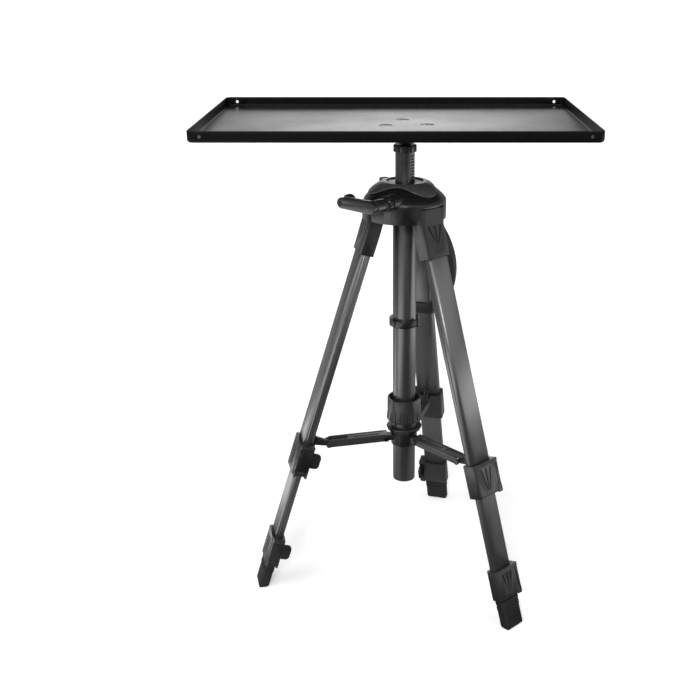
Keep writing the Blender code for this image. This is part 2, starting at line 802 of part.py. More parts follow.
def gear_outline(teeth, tip, root):
    """A spur gear's outline, with straight-sided teeth."""
    points = []
    pitch = 2 * pi / teeth
    for tooth in range(teeth):
        middle = tooth * pitch
        for radius, share in (
            (root, -TOOTH_ROOT_SHARE), (tip, -TOOTH_TIP_SHARE),
            (tip, TOOTH_TIP_SHARE), (root, TOOTH_ROOT_SHARE),
        ):
            angle = middle + share * pitch / 2
            points.append((radius * cos(angle), radius * sin(angle)))
    return points


def crank_shaft(parent):
    root = pinion_radius - GEAR_MODULE
    outline = gear_outline(PINION_TEETH, pinion_tip, root)
    pinion = prism(outline, -PINION_WIDTH / 2, PINION_WIDTH / 2)
    end = CRANK_ARM_END - CRANK_HUB_WALL - GAP
    shaft = rod(CRANK_SHAFT_RADIUS, -CRANK_SHAFT_BACK, end)
    solid("crank_shaft", joined(shaft, pinion), "steel", parent)


def crank_lock_nut(parent):
    low = CRANK_BOSS_END + GAP
    high = low + CRANK_NUT_LENGTH
    bevel = CRANK_NUT_EDGE
    bore = CRANK_SHAFT_RADIUS + GAP
    profile = [
        (bore, low), (CRANK_NUT_RADIUS - bevel, low), (CRANK_NUT_RADIUS, low + bevel),
        (CRANK_NUT_RADIUS, high - bevel), (CRANK_NUT_RADIUS - bevel, high), (bore, high),
    ]
    flutes = ring_of(
        CRANK_NUT_FLUTES,
        lambda: moved(
            rod(CRANK_NUT_FLUTE, low - GAP, high + GAP, 6),
            Matrix.Translation((CRANK_NUT_RADIUS, 0, 0)),
        ),
    )
    solid("crank_lock_nut", cut(lathe(profile), flutes), "black_plastic", parent)


def crank_arm(parent):
    """A hub on the shaft and a flat arm across its end, in the crank's own frame.

    X points away from the column's axis there, so the arm runs along -X at rest.
    """
    hub_low = CRANK_BOSS_END + GAP + CRANK_NUT_LENGTH + GAP
    arm_low = CRANK_ARM_END - CRANK_ARM_THICKNESS
    half = CRANK_ARM_HEIGHT / 2
    end_radius = half - CRANK_ARM_TAPER
    outline = arc(0, 0, half, -pi / 2, pi / 2, 6)
    outline += arc(-CRANK_ARM_LENGTH, 0, end_radius, pi / 2, 3 * pi / 2, 8)
    arm = prism(outline, arm_low, CRANK_ARM_END)
    arm = soften(arm, CRANK_ARM_EDGE, lambda edge: edge_is_level(edge, CRANK_ARM_END))
    hub = rod(CRANK_HUB_RADIUS, hub_low, arm_low + CRANK_HUB_WALL, ROUND_STEPS)
    holes = [
        rod(CRANK_SHAFT_RADIUS + GAP, hub_low - GAP, CRANK_ARM_END - CRANK_HUB_WALL),
        moved(
            rod(KNOB_PIN_RADIUS + GAP, arm_low - GAP, CRANK_ARM_END + GAP),
            Matrix.Translation((-CRANK_ARM_LENGTH, 0, 0)),
        ),
    ]
    solid("crank_arm", cut(joined(arm, hub), *holes), "grey_plastic", parent)


def edge_is_level(edge, z):
    return all(abs(corner.co.z - z) < 1e-6 for corner in edge.verts)


def crank_knob(parent):
    """The grip tucked in behind the arm's end, on its own pin. Z = 0 is the arm's inner face."""
    low = -GAP - CRANK_KNOB_LENGTH
    bore = KNOB_PIN_RADIUS + GAP
    bevel = CRANK_KNOB_EDGE
    profile = [
        (bore, low), (CRANK_KNOB_RADIUS - bevel, low), (CRANK_KNOB_RADIUS, low + bevel),
        (CRANK_KNOB_RADIUS, -bevel - GAP), (CRANK_KNOB_RADIUS - bevel, -GAP), (bore, -GAP),
    ]
    solid("crank_knob", lathe(profile, 24), "black_plastic", parent)


def knob_pin(parent):
    low = -GAP - CRANK_KNOB_LENGTH - GAP
    pin_end = CRANK_ARM_THICKNESS - KNOB_PIN_INSET
    pin = rod(KNOB_PIN_RADIUS, low - KNOB_PIN_HEAD_HEIGHT / 2, pin_end)
    head = rod(KNOB_PIN_HEAD_RADIUS, low - KNOB_PIN_HEAD_HEIGHT, low)
    solid("knob_pin", joined(pin, head), "steel", parent)


# Tray


def tray_floor_bottom():
    boss_low = collar_top + GAP + LOCK_NUT_HEIGHT + GAP
    return boss_low + PLATE_BOSS_HEIGHT + PLATE_THICKNESS + GAP


def tray_pan(parent):
    bottom = tray_floor_bottom()
    top = bottom + TRAY_WALL_HEIGHT
    half_x, half_y = TRAY_WIDTH / 2, TRAY_DEPTH / 2
    shift = Matrix.Translation((*TRAY_SHIFT, 0))
    outer = prism(rounded_rectangle(half_x, half_y, TRAY_CORNER), bottom, top)
    outer = soften(outer, TRAY_SHEET, lambda edge: edge_is_level(edge, bottom), 2)
    inner_outline = rounded_rectangle(
        half_x - TRAY_SHEET, half_y - TRAY_SHEET, TRAY_CORNER - TRAY_SHEET
    )
    pocket = prism(inner_outline, bottom + TRAY_SHEET, top + TRAY_SHEET)
    hole_x = half_x - TRAY_HOLE_INSET
    wall_holes = [
        moved(
            along_y(rod(TRAY_HOLE_RADIUS, -TRAY_DEPTH, TRAY_DEPTH, 12)),
            Matrix.Translation((side * hole_x, 0, bottom + TRAY_HOLE_RISE)),
        )
        for side in (1, -1)
    ]
    screw_holes = ring_of(
        len(LEG_NAMES),
        lambda: moved(
            lathe(countersink(1), SCREW_STEPS), Matrix.Translation((TRAY_SCREW_CIRCLE, 0, bottom))
        ),
        TRAY_SCREW_AZIMUTH,
    )
    shape = cut(moved(cut(outer, pocket, *wall_holes), shift), screw_holes)
    solid("tray_pan", shape, "tray_paint", parent)


def tray_plate(parent):
    """The round plate under the tray, with the boss that screws onto the stud."""
    top = tray_floor_bottom() - GAP
    middle = top - PLATE_THICKNESS
    low = middle - PLATE_BOSS_HEIGHT
    bore = STUD_RADIUS + GAP
    profile = [
        (bore, low), (PLATE_BOSS_RADIUS, low), (PLATE_BOSS_RADIUS, middle),
        (PLATE_RADIUS, middle), (PLATE_RADIUS, top), (bore, top),
    ]
    holes = ring_of(
        len(LEG_NAMES),
        lambda: moved(
            rod(TRAY_SCREW_RADIUS + GAP, middle - GAP, top + GAP),
            Matrix.Translation((TRAY_SCREW_CIRCLE, 0, 0)),
        ),
        TRAY_SCREW_AZIMUTH,
    )
    solid("tray_plate", cut(lathe(profile), holes), "dark_steel", parent)


def countersink(margins):
    """The outline of a screw head's cone, or of its hole with so many sheets of margin."""
    slope = (TRAY_SCREW_HEAD_RADIUS - TRAY_SCREW_NECK_RADIUS) / TRAY_SHEET
    room = margins * GAP * sqrt(1 + slope**2)
    low = -margins * TRAY_SHEET
    high = TRAY_SHEET * (1 + margins) - (1 - margins) * TRAY_SCREW_HEAD_DROP
    profile = [(TRAY_SCREW_NECK_RADIUS + slope * z + room, z) for z in (low, high)]
    return [(0, low), *profile, (0, high)]


def tray_screws(parent):
    top = TRAY_SHEET - TRAY_SCREW_HEAD_DROP
    shank = rod(TRAY_SCREW_RADIUS, top - TRAY_SCREW_LENGTH, 2 * GAP)
    socket = rod(SCREW_SOCKET_RADIUS, top - SCREW_SOCKET_DEPTH, top + GAP, 6)
    mesh = finished_mesh(cut(joined(lathe(countersink(0), SCREW_STEPS), shank), socket), "tray_screw")
    for index, name in enumerate(LEG_NAMES):
        azimuth = TRAY_SCREW_AZIMUTH + index * LEG_PITCH
        piece = node("tray_screw_" + name, mesh, "dark_steel", parent)
        x, y = TRAY_SCREW_CIRCLE * cos(azimuth), TRAY_SCREW_CIRCLE * sin(azimuth)
        piece.location = (x, y, tray_floor_bottom())


def tray_lock_nut(parent):
    low = collar_top + GAP
    high = low + LOCK_NUT_HEIGHT
    bore = STUD_RADIUS + GAP
    outline = arc(0, 0, LOCK_NUT_RADIUS, 0, 2 * pi, 6)[:-1]
    shape = cut(prism(outline, low, high), rod(bore, low - GAP, high + GAP))
    solid("tray_lock_nut", shape, "dark_steel", parent)


# Brace


def brace_hub(parent):
    """A sleeve that slides on the column, with a lug for each arm. Z = 0 is the arms' pivot."""
    bore = OUTER_TUBE_RADIUS + GAP
    flange_low = HUB_FLANGE_RISE
    flange_high = flange_low + HUB_FLANGE_THICKNESS
    profile = [
        (bore, -HUB_DROP), (HUB_SLEEVE_RADIUS, -HUB_DROP), (HUB_SLEEVE_RADIUS, flange_low),
        (HUB_FLANGE_RADIUS - HUB_FLANGE_SLANT, flange_low),
        (HUB_FLANGE_RADIUS, flange_high - HUB_FLANGE_EDGE),
        (HUB_FLANGE_RADIUS - HUB_FLANGE_EDGE, flange_high), (HUB_SLEEVE_RADIUS, flange_high),
        (HUB_SLEEVE_RADIUS, HUB_NECK_TOP), (bore, HUB_NECK_TOP),
    ]
    lug_half = ARM_HALF_WIDTH - ARM_WALL - GAP
    radius, root = ARM_BELOW, bore + HUB_LUG_ROOT
    outline = [(root, -radius), *arc(ARM_PIVOT_RADIUS, 0, radius, -pi / 2, pi / 2, 6)]
    outline += [(root, radius)]
    lugs = ring_of(len(LEG_NAMES), lambda: side_prism(outline, lug_half), FIRST_LEG_AZIMUTH)
    holes = ring_of(len(LEG_NAMES), lug_hole, FIRST_LEG_AZIMUTH)
    shape = cut(joined(lathe(profile), lugs), holes)
    solid("brace_hub", shape, "black_plastic", parent)


def lug_hole():
    reach = 2 * ARM_HALF_WIDTH
    return along_y(rod(ARM_RIVET_RADIUS + PIN_GAP, -reach, reach, 12), ARM_PIVOT_RADIUS)


def arm_pin_mesh():
    """The pin on which an arm turns, with a head at each end."""
    half = ARM_HALF_WIDTH + GAP
    reach = half + RIVET_HEAD_HEIGHT
    shank = along_y(rod(ARM_RIVET_RADIUS, -reach + GAP, reach - GAP, 12))
    heads = [
        along_y(rod(RIVET_HEAD_RADIUS, low, low + RIVET_HEAD_HEIGHT, 12))
        for low in (half, -reach)
    ]
    return finished_mesh(joined(shank, *heads), "arm_pin")


def brace_lock_collar(parent):
    """An open cup that turns on the hub's neck to clamp it to the column."""
    low = LOCK_COLLAR_RISE
    high = low + LOCK_COLLAR_HEIGHT
    inner = LOCK_COLLAR_RADIUS - LOCK_COLLAR_WALL
    foot = LOCK_COLLAR_RADIUS + LOCK_COLLAR_FLARE
    bore = HUB_SLEEVE_RADIUS + GAP
    floor = low + LOCK_COLLAR_FLOOR
    profile = [
        (bore, low), (foot - LOCK_COLLAR_EDGE, low), (foot, low + LOCK_COLLAR_RIB_RISE),
        (LOCK_COLLAR_RADIUS, low + LOCK_COLLAR_RIB_HEIGHT + LOCK_COLLAR_RIB_RISE),
        (LOCK_COLLAR_RADIUS, high), (inner, high), (inner, floor), (bore, floor),
    ]
    notch_z = low + LOCK_COLLAR_RIB_RISE
    notches = ring_of(
        LOCK_COLLAR_RIBS,
        lambda: block(
            (LOCK_COLLAR_RADIUS - LOCK_COLLAR_RIB_DEPTH, -LOCK_COLLAR_RIB_WIDTH / 2, notch_z),
            (foot * 2, LOCK_COLLAR_RIB_WIDTH / 2, notch_z + LOCK_COLLAR_RIB_HEIGHT),
        ),
    )
    solid("brace_lock_collar", cut(lathe(profile), notches), "grey_plastic", parent)


def brace_arm_mesh():
    """A channel, open below, forked at its outer end. X = 0 is its pivot at the hub."""
    end = arm_length
    outline = arc(0, 0, ARM_BELOW, pi, 3 * pi / 2, 3)
    outline += arc(end, 0, ARM_END, -pi / 2, radians(50), 6)
    outline += [(end - ARM_END, ARM_ABOVE), (-ARM_BELOW, ARM_ABOVE)]
    inside = ARM_HALF_WIDTH - ARM_WALL
    far = end + CUT_MARGIN
    hollow = block((-CUT_MARGIN, -inside, -CUT_MARGIN), (far, inside, ARM_ABOVE - ARM_WALL))
    slot_half = TONGUE_HALF_WIDTH + 2 * GAP
    slot = block(
        (end - ARM_FORK_LENGTH, -slot_half, -CUT_MARGIN), (far, slot_half, CUT_MARGIN)
    )
    hole = along_y(rod(ARM_RIVET_RADIUS + PIN_GAP, -CUT_MARGIN, CUT_MARGIN, 12))
    shape = cut(side_prism(outline, ARM_HALF_WIDTH), hollow, slot, hole)
    rivets = []
    for side in (1, -1):
        inner, outer = side * slot_half, side * (ARM_HALF_WIDTH + RIVET_HEAD_HEIGHT)
        shank = rod(ARM_RIVET_RADIUS, min(inner, outer), max(inner, outer), 12)
        head = rod(RIVET_HEAD_RADIUS, min(outer, side * inside), max(outer, side * inside), 12)
        rivets += [along_y(shank, end), along_y(head, end)]
    return finished_mesh(joined(shape, *rivets), "brace_arm")


# Legs, each in its own frame


def leg_tube(inset, start, end):
    wall_inset = inset + TUBE_WALL
    shape = prism(leg_section(inset), -end, -start)
    bore = prism(leg_section(wall_inset, grooves=False), -end - GAP, -start + GAP)
    return cut(shape, bore)


def flutes(face_x, top, bottom, spread):
    """Tapered flutes that run together towards the bottom, cut in the wide outer face."""
    cutters = []
    for index in range(FLUTE_COUNT):
        share = 2 * index / (FLUTE_COUNT - 1) - 1
        top_y, low_y = share * spread, share * spread * FLUTE_TAPER
        half_top, half_low = FLUTE_WIDTH / 2, FLUTE_WIDTH / 6
        outline = [
            (low_y - half_low, bottom), (low_y + half_low, bottom),
            (top_y + half_top, top), (top_y - half_top, top),
        ]
        cutter = prism(outline, face_x - FLUTE_DEPTH, face_x + CUT_MARGIN)
        cutters.append(moved(cutter, Matrix(((0, 0, 1), (1, 0, 0), (0, 1, 0))).to_4x4()))
    return gathered(cutters)


def leg_place(out, up):
    """A point given outwards and upwards from the hinge pin, in the splayed leg's own frame."""
    return (
        out * cos(LEG_SPLAY) + up * sin(LEG_SPLAY), up * cos(LEG_SPLAY) - out * sin(LEG_SPLAY)
    )


def fitting_mesh():
    """The casting that hangs on the hinge pin and holds the upper tube in its socket."""
    half_depth = UPPER_HALF_DEPTH + GAP + FITTING_WALL
    end_half_width = UPPER_HALF_WIDTH + GAP + FITTING_WALL
    outline = [
        leg_place(FITTING_NOSE, -FITTING_NOSE_DROP), leg_place(FITTING_NOSE, FITTING_NOSE_RISE),
    ]
    outline += arc(0, 0, KNUCKLE_RADIUS, pi / 2, pi, 6)
    outline += [(-half_depth, -FITTING_INNER_DROP), (-half_depth, -FITTING_LENGTH)]
    outline += [(half_depth, -FITTING_LENGTH)]
    shape = side_prism(outline, FITTING_HALF_WIDTH)
    taper = end_half_width / FITTING_HALF_WIDTH
    for corner in shape.verts:
        share = max(0.0, min(1.0, -corner.co.z / FITTING_LENGTH))
        corner.co.y *= 1 + (taper - 1) * share
    shape = soften(shape, FITTING_EDGE, is_outer_long_edge, 3)
    socket = prism(grown_section(0, GAP), -FITTING_LENGTH - GAP, -UPPER_TUBE_START + GAP)
    reach = 2 * FITTING_HALF_WIDTH
    pin_hole = along_y(rod(HINGE_PIN_RADIUS + PIN_GAP, -reach, reach))
    grooves = flutes(
        half_depth - GAP, -FITTING_FLUTE_TOP, -FITTING_FLUTE_BOTTOM, FITTING_FLUTE_SPREAD
    )
    return finished_mesh(cut(shape, socket, pin_hole, grooves), "leg_fitting")


def is_outer_long_edge(edge):
    a, b = (corner.co for corner in edge.verts)
    runs_down = abs(a.z - b.z) > LONG_EDGE and abs(a.y - b.y) < LONG_EDGE
    return runs_down and min(a.x, b.x) > UPPER_HALF_DEPTH


def grown_section(inset, growth):
    """The leg's outline at an inset, grown all round, for sockets and collars."""
    half_depth = UPPER_HALF_DEPTH - inset + growth
    half_width = UPPER_HALF_WIDTH - inset + growth
    corner = section_corner(inset)
    return rounded_rectangle(half_depth, half_width, corner)


def lever_place(inset):
    """How far the lever's pin lies from the leg's middle, to the side."""
    return UPPER_HALF_WIDTH - inset + GAP + LOCK_SIDE_WALL + GAP + LEVER_KNUCKLE


def lock_shape(inset, start, end):
    """A collar that grips the next section, with a shoulder and two ears for its lever."""
    half_depth = UPPER_HALF_DEPTH - inset + GAP
    half_width = UPPER_HALF_WIDTH - inset + GAP
    inner, outer = -half_depth - LOCK_INNER_WALL, half_depth + LOCK_OUTER_WALL
    low_x, high_x = inner + LOCK_EAR_INSET, outer - 3 * LOCK_EAR_INSET
    side = half_width + LOCK_SIDE_WALL
    side_root = half_width + LOCK_SIDE_WALL / 4
    out = lever_place(inset) + LEVER_KNUCKLE
    collar = block((inner, -side, -end), (outer, side, -start))
    collar = soften(collar, LOCK_CORNER, edge_runs_down, 3)
    shoulder = block((low_x, side_root, -start - LOCK_SHOULDER), (high_x, out, -start - GAP))
    shoulder = soften(shoulder, LOCK_SHOULDER_ROUND, lambda edge: edge_faces_out(edge, out))
    ear_low, ear_high = -end - LOCK_EAR_DROP, -end + 2 * LEVER_PIN_RISE
    ears = [
        block((x, side_root, ear_low), (x + LOCK_EAR, out, ear_high))
        for x in (low_x, high_x - LOCK_EAR)
    ]
    ears = [soften(ear, LOCK_EAR_ROUND, lambda edge: edge_faces_out(edge, out), 3) for ear in ears]
    ear_root = block(
        (low_x + GAP, side_root, ear_low + GAP), (high_x - GAP, side, -end + LOCK_EAR_DROP)
    )
    lower_inset = inset + SECTION_STEP
    step = end - LOCK_THROAT
    holes = [
        prism(grown_section(inset, GAP), -step, -start + CUT_MARGIN),
        prism(grown_section(lower_inset, GAP), -end - CUT_MARGIN, -step + 2 * GAP),
        along_x(rod(LEVER_PIN_RADIUS + PIN_GAP, -half_width, half_width, 12), 0,
                lever_place(inset), -end + LEVER_PIN_RISE),
        flutes(outer, -start - LOCK_FLUTE_MARGIN, -end + LOCK_FLUTE_MARGIN, half_width / 2),
    ]
    return joined(collar, shoulder, *ears, ear_root), holes


def edge_runs_down(edge):
    a, b = (corner.co for corner in edge.verts)
    return abs(a.z - b.z) > LONG_EDGE


def edge_faces_out(edge, y):
    return all(abs(corner.co.y - y) < 1e-6 for corner in edge.verts)


def brace_tongue():
    """The tongue on the upper lock's inner side, to which the brace arm is riveted."""
    face = -UPPER_HALF_DEPTH - GAP
    z = -BRACE_TAP
    neck = TONGUE_NECK_SHARE * TONGUE_ROOT
    outline = [(face, z + TONGUE_ROOT / 2), (face - TONGUE_NECK, z + neck)]
    outline += arc(-TONGUE_REACH, z, TONGUE_END, pi / 2, 3 * pi / 2, 8)
    outline += [(face - TONGUE_NECK, z - neck), (face, z - TONGUE_ROOT / 2)]
    return side_prism(outline, TONGUE_HALF_WIDTH)


def upper_lock_mesh():
    shape, holes = lock_shape(0, UPPER_LOCK_START, UPPER_LOCK_END)
    return finished_mesh(cut(joined(shape, brace_tongue()), *holes), "upper_lock")


def lower_lock_mesh():
    shape, holes = lock_shape(SECTION_STEP, LOWER_LOCK_START, LOWER_LOCK_END)
    return finished_mesh(cut(shape, *holes), "lower_lock")


def lever_mesh(inset, start, end, name):
    """A flip lever with a finger tab. Its frame is on the pin: X along it, Z up the leg."""
    half_depth = UPPER_HALF_DEPTH - inset + GAP
    low_x = -half_depth - LOCK_INNER_WALL + LOCK_EAR_INSET
    high_x = half_depth + LOCK_OUTER_WALL - 3 * LOCK_EAR_INSET
    back = -LEVER_KNUCKLE
    front = back + LEVER_THICKNESS
    plate_low = LEVER_PIN_RISE + GAP
    plate_high = end - start - LEVER_PIN_RISE - LOCK_SHOULDER - GAP
    plate = block((low_x, back, plate_low), (high_x, front, plate_high))
    plate = soften(plate, LEVER_EDGE, lambda edge: edge_faces_out(edge, front))
    knuckle_low, knuckle_high = low_x + LOCK_EAR + GAP, high_x - LOCK_EAR - GAP
    neck = block(
        (knuckle_low + GAP, back + GAP, -GAP), (knuckle_high - GAP, front - GAP, 2 * plate_low)
    )
    knuckle = along_x(rod(LEVER_KNUCKLE, knuckle_low, knuckle_high))
    trunnions = along_x(rod(LEVER_PIN_RADIUS, low_x + LOCK_EAR_INSET, high_x - LOCK_EAR_INSET, 12))
    middle_z = (plate_low + plate_high) / 2 + LEVER_TAB_RISE
    room = (plate_high - plate_low) / 2 - LEVER_TAB_RISE - LEVER_EDGE
    half_length = min(LEVER_TAB_LENGTH / 2, room)
    corner = LEVER_TAB_CORNER
    far = low_x - LEVER_TAB_REACH + corner
    outline = [(0, middle_z - half_length), (0, middle_z + half_length)]
    outline += arc(far, middle_z + half_length - corner, corner, pi / 2, pi, 4)
    outline += arc(far, middle_z - half_length + corner, corner, pi, 3 * pi / 2, 4)
    tab = side_prism(outline, LEVER_TAB_THICKNESS / 2, (back + front) / 2)
    return finished_mesh(joined(plate, neck, knuckle, trunnions, tab), name)


def foot_mesh():
    """A rubber boot, cut so that its sole lies flat on the floor when the leg is splayed."""
    inset = 2 * SECTION_STEP
    deep = LEG_LENGTH + CUT_MARGIN
    boot = prism(grown_section(inset, GAP + FOOT_WALL), -deep, -FOOT_START)
    socket = prism(grown_section(inset, GAP), -lower_tube_end() - GAP, -FOOT_START + CUT_MARGIN)
    under = block((-FOOT_REACH, -FOOT_REACH, -FOOT_REACH), (FOOT_REACH, FOOT_REACH, 0))
    tilt = Matrix.Translation((0, 0, -LEG_LENGTH)) @ Matrix.Rotation(LEG_SPLAY, 4, "Y")
    boot = cut(boot, moved(under, tilt))
    boot = soften(boot, FOOT_ROUND, edge_is_on_sole)
    return finished_mesh(cut(boot, socket), "foot")


def edge_is_on_sole(edge):
    """True for an edge of the slanted cut that the leg stands on."""
    heights = [corner.co.z + corner.co.x * tan(LEG_SPLAY) for corner in edge.verts]
    return all(abs(height + LEG_LENGTH) < GAP for height in heights)


def lower_tube_end():
    reach = (UPPER_HALF_DEPTH - 2 * SECTION_STEP) * tan(LEG_SPLAY)
    return LEG_LENGTH - FOOT_FLOOR - reach


def handle_seat():
    """How far the strap's feet stand from the leg's middle."""
    return UPPER_HALF_WIDTH + GAP + FITTING_WALL + HANDLE_STAND_OFF


def handle_strap_mesh():
    """A bowed strap beside the back leg. Y is out to the leg's side, so the strap is at -Y."""
    seat = handle_seat()
    outer, inner = [], []
    for step in range(HANDLE_STEPS + 1):
        share = step / HANDLE_STEPS
        z = -HANDLE_TOP - (HANDLE_BOTTOM - HANDLE_TOP) * share
        bulge = HANDLE_BULGE * sin(pi * share) ** HANDLE_BOW_POWER
        outer.append((z, seat + bulge + HANDLE_THICKNESS))
        inner.append((z, seat + bulge))
    outline = [(y, z) for z, y in outer] + [(y, z) for z, y in reversed(inner)]
    strap = prism([(-y, z) for y, z in outline], -HANDLE_WIDTH / 2, HANDLE_WIDTH / 2)
    return moved(strap, Matrix(((0, 0, 1), (1, 0, 0), (0, 1, 0))).to_4x4())


def carry_handle(parent):
    seat = handle_seat()
    half = HANDLE_WIDTH / 2
    feet = [
        block((-half, -seat - HANDLE_THICKNESS, middle - HANDLE_FOOT_LENGTH / 2),
              (half, -seat, middle + HANDLE_FOOT_LENGTH / 2))
        for middle in (-HANDLE_TOP, -HANDLE_BOTTOM)
    ]
    shape = joined(handle_strap_mesh(), *feet)
    solid("carry_handle", shape, "black_plastic", parent)


def handle_band(parent):
    """The band round the upper tube that holds the strap's lower end."""
    growth = GAP + BAND_WALL
    low = -HANDLE_BOTTOM - BAND_HEIGHT / 2
    high = low + BAND_HEIGHT
    ring = prism(grown_section(0, growth), low, high)
    bore = prism(grown_section(0, GAP), low - GAP, high + GAP)
    solid("handle_band", cut(ring, bore), "grey_plastic", parent)


def leg_meshes():
    lower_inset = SECTION_STEP
    return {
        "leg_fitting": fitting_mesh(),
        "upper_tube": finished_mesh(leg_tube(0, UPPER_TUBE_START, upper_tube_end), "upper_tube"),
        "upper_lock": upper_lock_mesh(),
        "upper_lever": lever_mesh(0, UPPER_LOCK_START, UPPER_LOCK_END, "upper_lever"),
        "middle_tube": finished_mesh(
            leg_tube(lower_inset, MIDDLE_TUBE_START, middle_tube_end), "middle_tube"
        ),
        "lower_lock": lower_lock_mesh(),
        "lower_lever": lever_mesh(lower_inset, LOWER_LOCK_START, LOWER_LOCK_END, "lower_lever"),
        "lower_tube": finished_mesh(
            leg_tube(2 * lower_inset, LOWER_TUBE_START, lower_tube_end()), "lower_tube"
        ),
        "foot": foot_mesh(),
        "brace_arm": brace_arm_mesh(),
        "hinge_pin": hinge_pin_mesh(),
        "arm_pin": arm_pin_mesh(),
    }


LEG_FINISHES = {
    "leg_fitting": "grey_plastic",
    "upper_tube": "leg_aluminium",
    "upper_lock": "grey_plastic",
    "upper_lever": "black_plastic",
    "middle_tube": "leg_aluminium",
    "lower_lock": "grey_plastic",
    "lower_lever": "black_plastic",
    "lower_tube": "leg_aluminium",
    "foot": "rubber",
    "brace_arm": "dark_steel",
    "hinge_pin": "steel",
    "arm_pin": "steel",
}


def build_leg(name, index, meshes, root, brace):
    azimuth = leg_azimuth(index)
    place = (LEG_PIVOT_RADIUS * cos(azimuth), LEG_PIVOT_RADIUS * sin(azimuth), PIVOT_HEIGHT)
    seat = frame("seat_leg_" + name, root, place, (0, 0, azimuth))
    leg = frame("axis_leg_" + name, seat, (0, 0, 0), (0, -LEG_SPLAY, 0))
    middle = frame("axis_middle_" + name, leg)
    lower = frame("axis_lower_" + name, middle)
    upper_pin = (0, lever_place(0), -UPPER_LOCK_END + LEVER_PIN_RISE)
    lower_pin = (0, lever_place(SECTION_STEP), -LOWER_LOCK_END + LEVER_PIN_RISE)
    upper_lever = frame("axis_upper_lever_" + name, leg, upper_pin)
    lower_lever = frame("axis_lower_lever_" + name, middle, lower_pin)
    arm_place = (ARM_PIVOT_RADIUS * cos(azimuth), ARM_PIVOT_RADIUS * sin(azimuth), 0)
    arm_seat = frame("seat_arm_" + name, brace, arm_place, (0, 0, azimuth))
    arm = frame("axis_arm_" + name, arm_seat)
    parents = {
        "hinge_pin": seat, "leg_fitting": leg, "upper_tube": leg, "upper_lock": leg,
        "upper_lever": upper_lever, "middle_tube": middle, "lower_lock": middle,
        "lower_lever": lower_lever, "lower_tube": lower, "foot": lower,
        "arm_pin": arm_seat, "brace_arm": arm,
    }
    for piece, parent in parents.items():
        node(piece + "_" + name, meshes[piece], LEG_FINISHES[piece], parent)
    if name == HANDLE_LEG:
        carry_handle(leg)
        handle_band(leg)


def centre_over_origin(root):
    """Shifts the stand so that the middle of its plan is over the origin."""
    bpy.context.view_layer.update()
    pieces = [piece for piece in bpy.data.objects if piece.type == "MESH"]
    places = [piece.matrix_world @ corner.co for piece in pieces for corner in piece.data.vertices]
    for axis in (0, 1):
        reach = [place[axis] for place in places]
        root.location[axis] = -(min(reach) + max(reach)) / 2


def build():
    clear_scene()
    root = frame("stand")
    head_body(root)
    head_cover(root)
    bubble_level(root)
    outer_tube(root)
    column_bush(root)
    column_clip(root)
    crank = frame("axis_crank", root)
    crank.matrix_local = crank_frame_matrix()
    crank_shaft(crank)
    crank_arm(crank)
    crank_lock_nut(frame("axis_crank_lock", crank))
    knob_place = (-CRANK_ARM_LENGTH, 0, CRANK_ARM_END - CRANK_ARM_THICKNESS)
    knob = frame("axis_crank_knob", crank, knob_place)
    crank_knob(knob)
    knob_pin(knob)
    column = frame("axis_column", root)
    geared_column(column)
    column_collar(column)
    tray_stud(column)
    tray_lock_nut(column)
    tray = frame("axis_tray", column)
    tray_pan(tray)
    tray_plate(tray)
    tray_screws(tray)
    brace = frame("axis_brace", root, (0, 0, brace_pivot.z))
    brace_hub(brace)
    brace_lock_collar(brace)
    meshes = leg_meshes()
    for index, name in enumerate(LEG_NAMES):
        build_leg(name, index, meshes, root, brace)
    centre_over_origin(root)


build()
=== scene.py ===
# %% [markdown]
# # A projector tripod stand, dressed for its picture
#
# A shallow black tray stands on a geared column, and the column stands on three folding legs.
# The rigid shapes come from the CAD model, which this script loads first and never moves.
# Everything after that is about looks: rounded edges, finishes, and the small shapes that
# the CAD model leaves plain. All sizes are in metres, and +Z is up.

# %% Load the CAD model
import json
from math import atan2, cos, pi, radians, sin

import bmesh
import bpy
from mathutils import Matrix, Vector


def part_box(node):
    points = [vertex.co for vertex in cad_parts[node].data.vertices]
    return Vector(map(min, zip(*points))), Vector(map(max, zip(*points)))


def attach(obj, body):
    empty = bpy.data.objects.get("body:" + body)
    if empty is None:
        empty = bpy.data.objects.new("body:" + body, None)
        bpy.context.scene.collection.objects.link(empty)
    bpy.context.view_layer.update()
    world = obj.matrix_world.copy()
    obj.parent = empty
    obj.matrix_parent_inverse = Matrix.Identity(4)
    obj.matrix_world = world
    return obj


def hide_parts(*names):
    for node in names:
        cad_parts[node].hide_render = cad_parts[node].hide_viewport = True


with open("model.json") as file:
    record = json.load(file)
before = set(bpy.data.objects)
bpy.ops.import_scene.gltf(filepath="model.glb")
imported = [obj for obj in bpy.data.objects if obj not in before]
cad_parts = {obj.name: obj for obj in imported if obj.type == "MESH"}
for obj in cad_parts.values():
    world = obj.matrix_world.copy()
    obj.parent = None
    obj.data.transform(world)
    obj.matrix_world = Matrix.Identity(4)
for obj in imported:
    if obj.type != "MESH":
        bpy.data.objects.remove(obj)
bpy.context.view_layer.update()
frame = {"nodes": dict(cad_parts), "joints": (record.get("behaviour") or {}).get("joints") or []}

nodes = frame["nodes"]
joints = {joint["name"]: joint for joint in frame["joints"]}

# %% [markdown]
# ## The camera
#
# The picture was taken from a little above the tray, looking down. The lens and the place were
# worked out from the tray's corners and the feet, so that the drawn stand covers the real one.
# A small sideways shift keeps the stand right of the middle, as the photographer framed it.

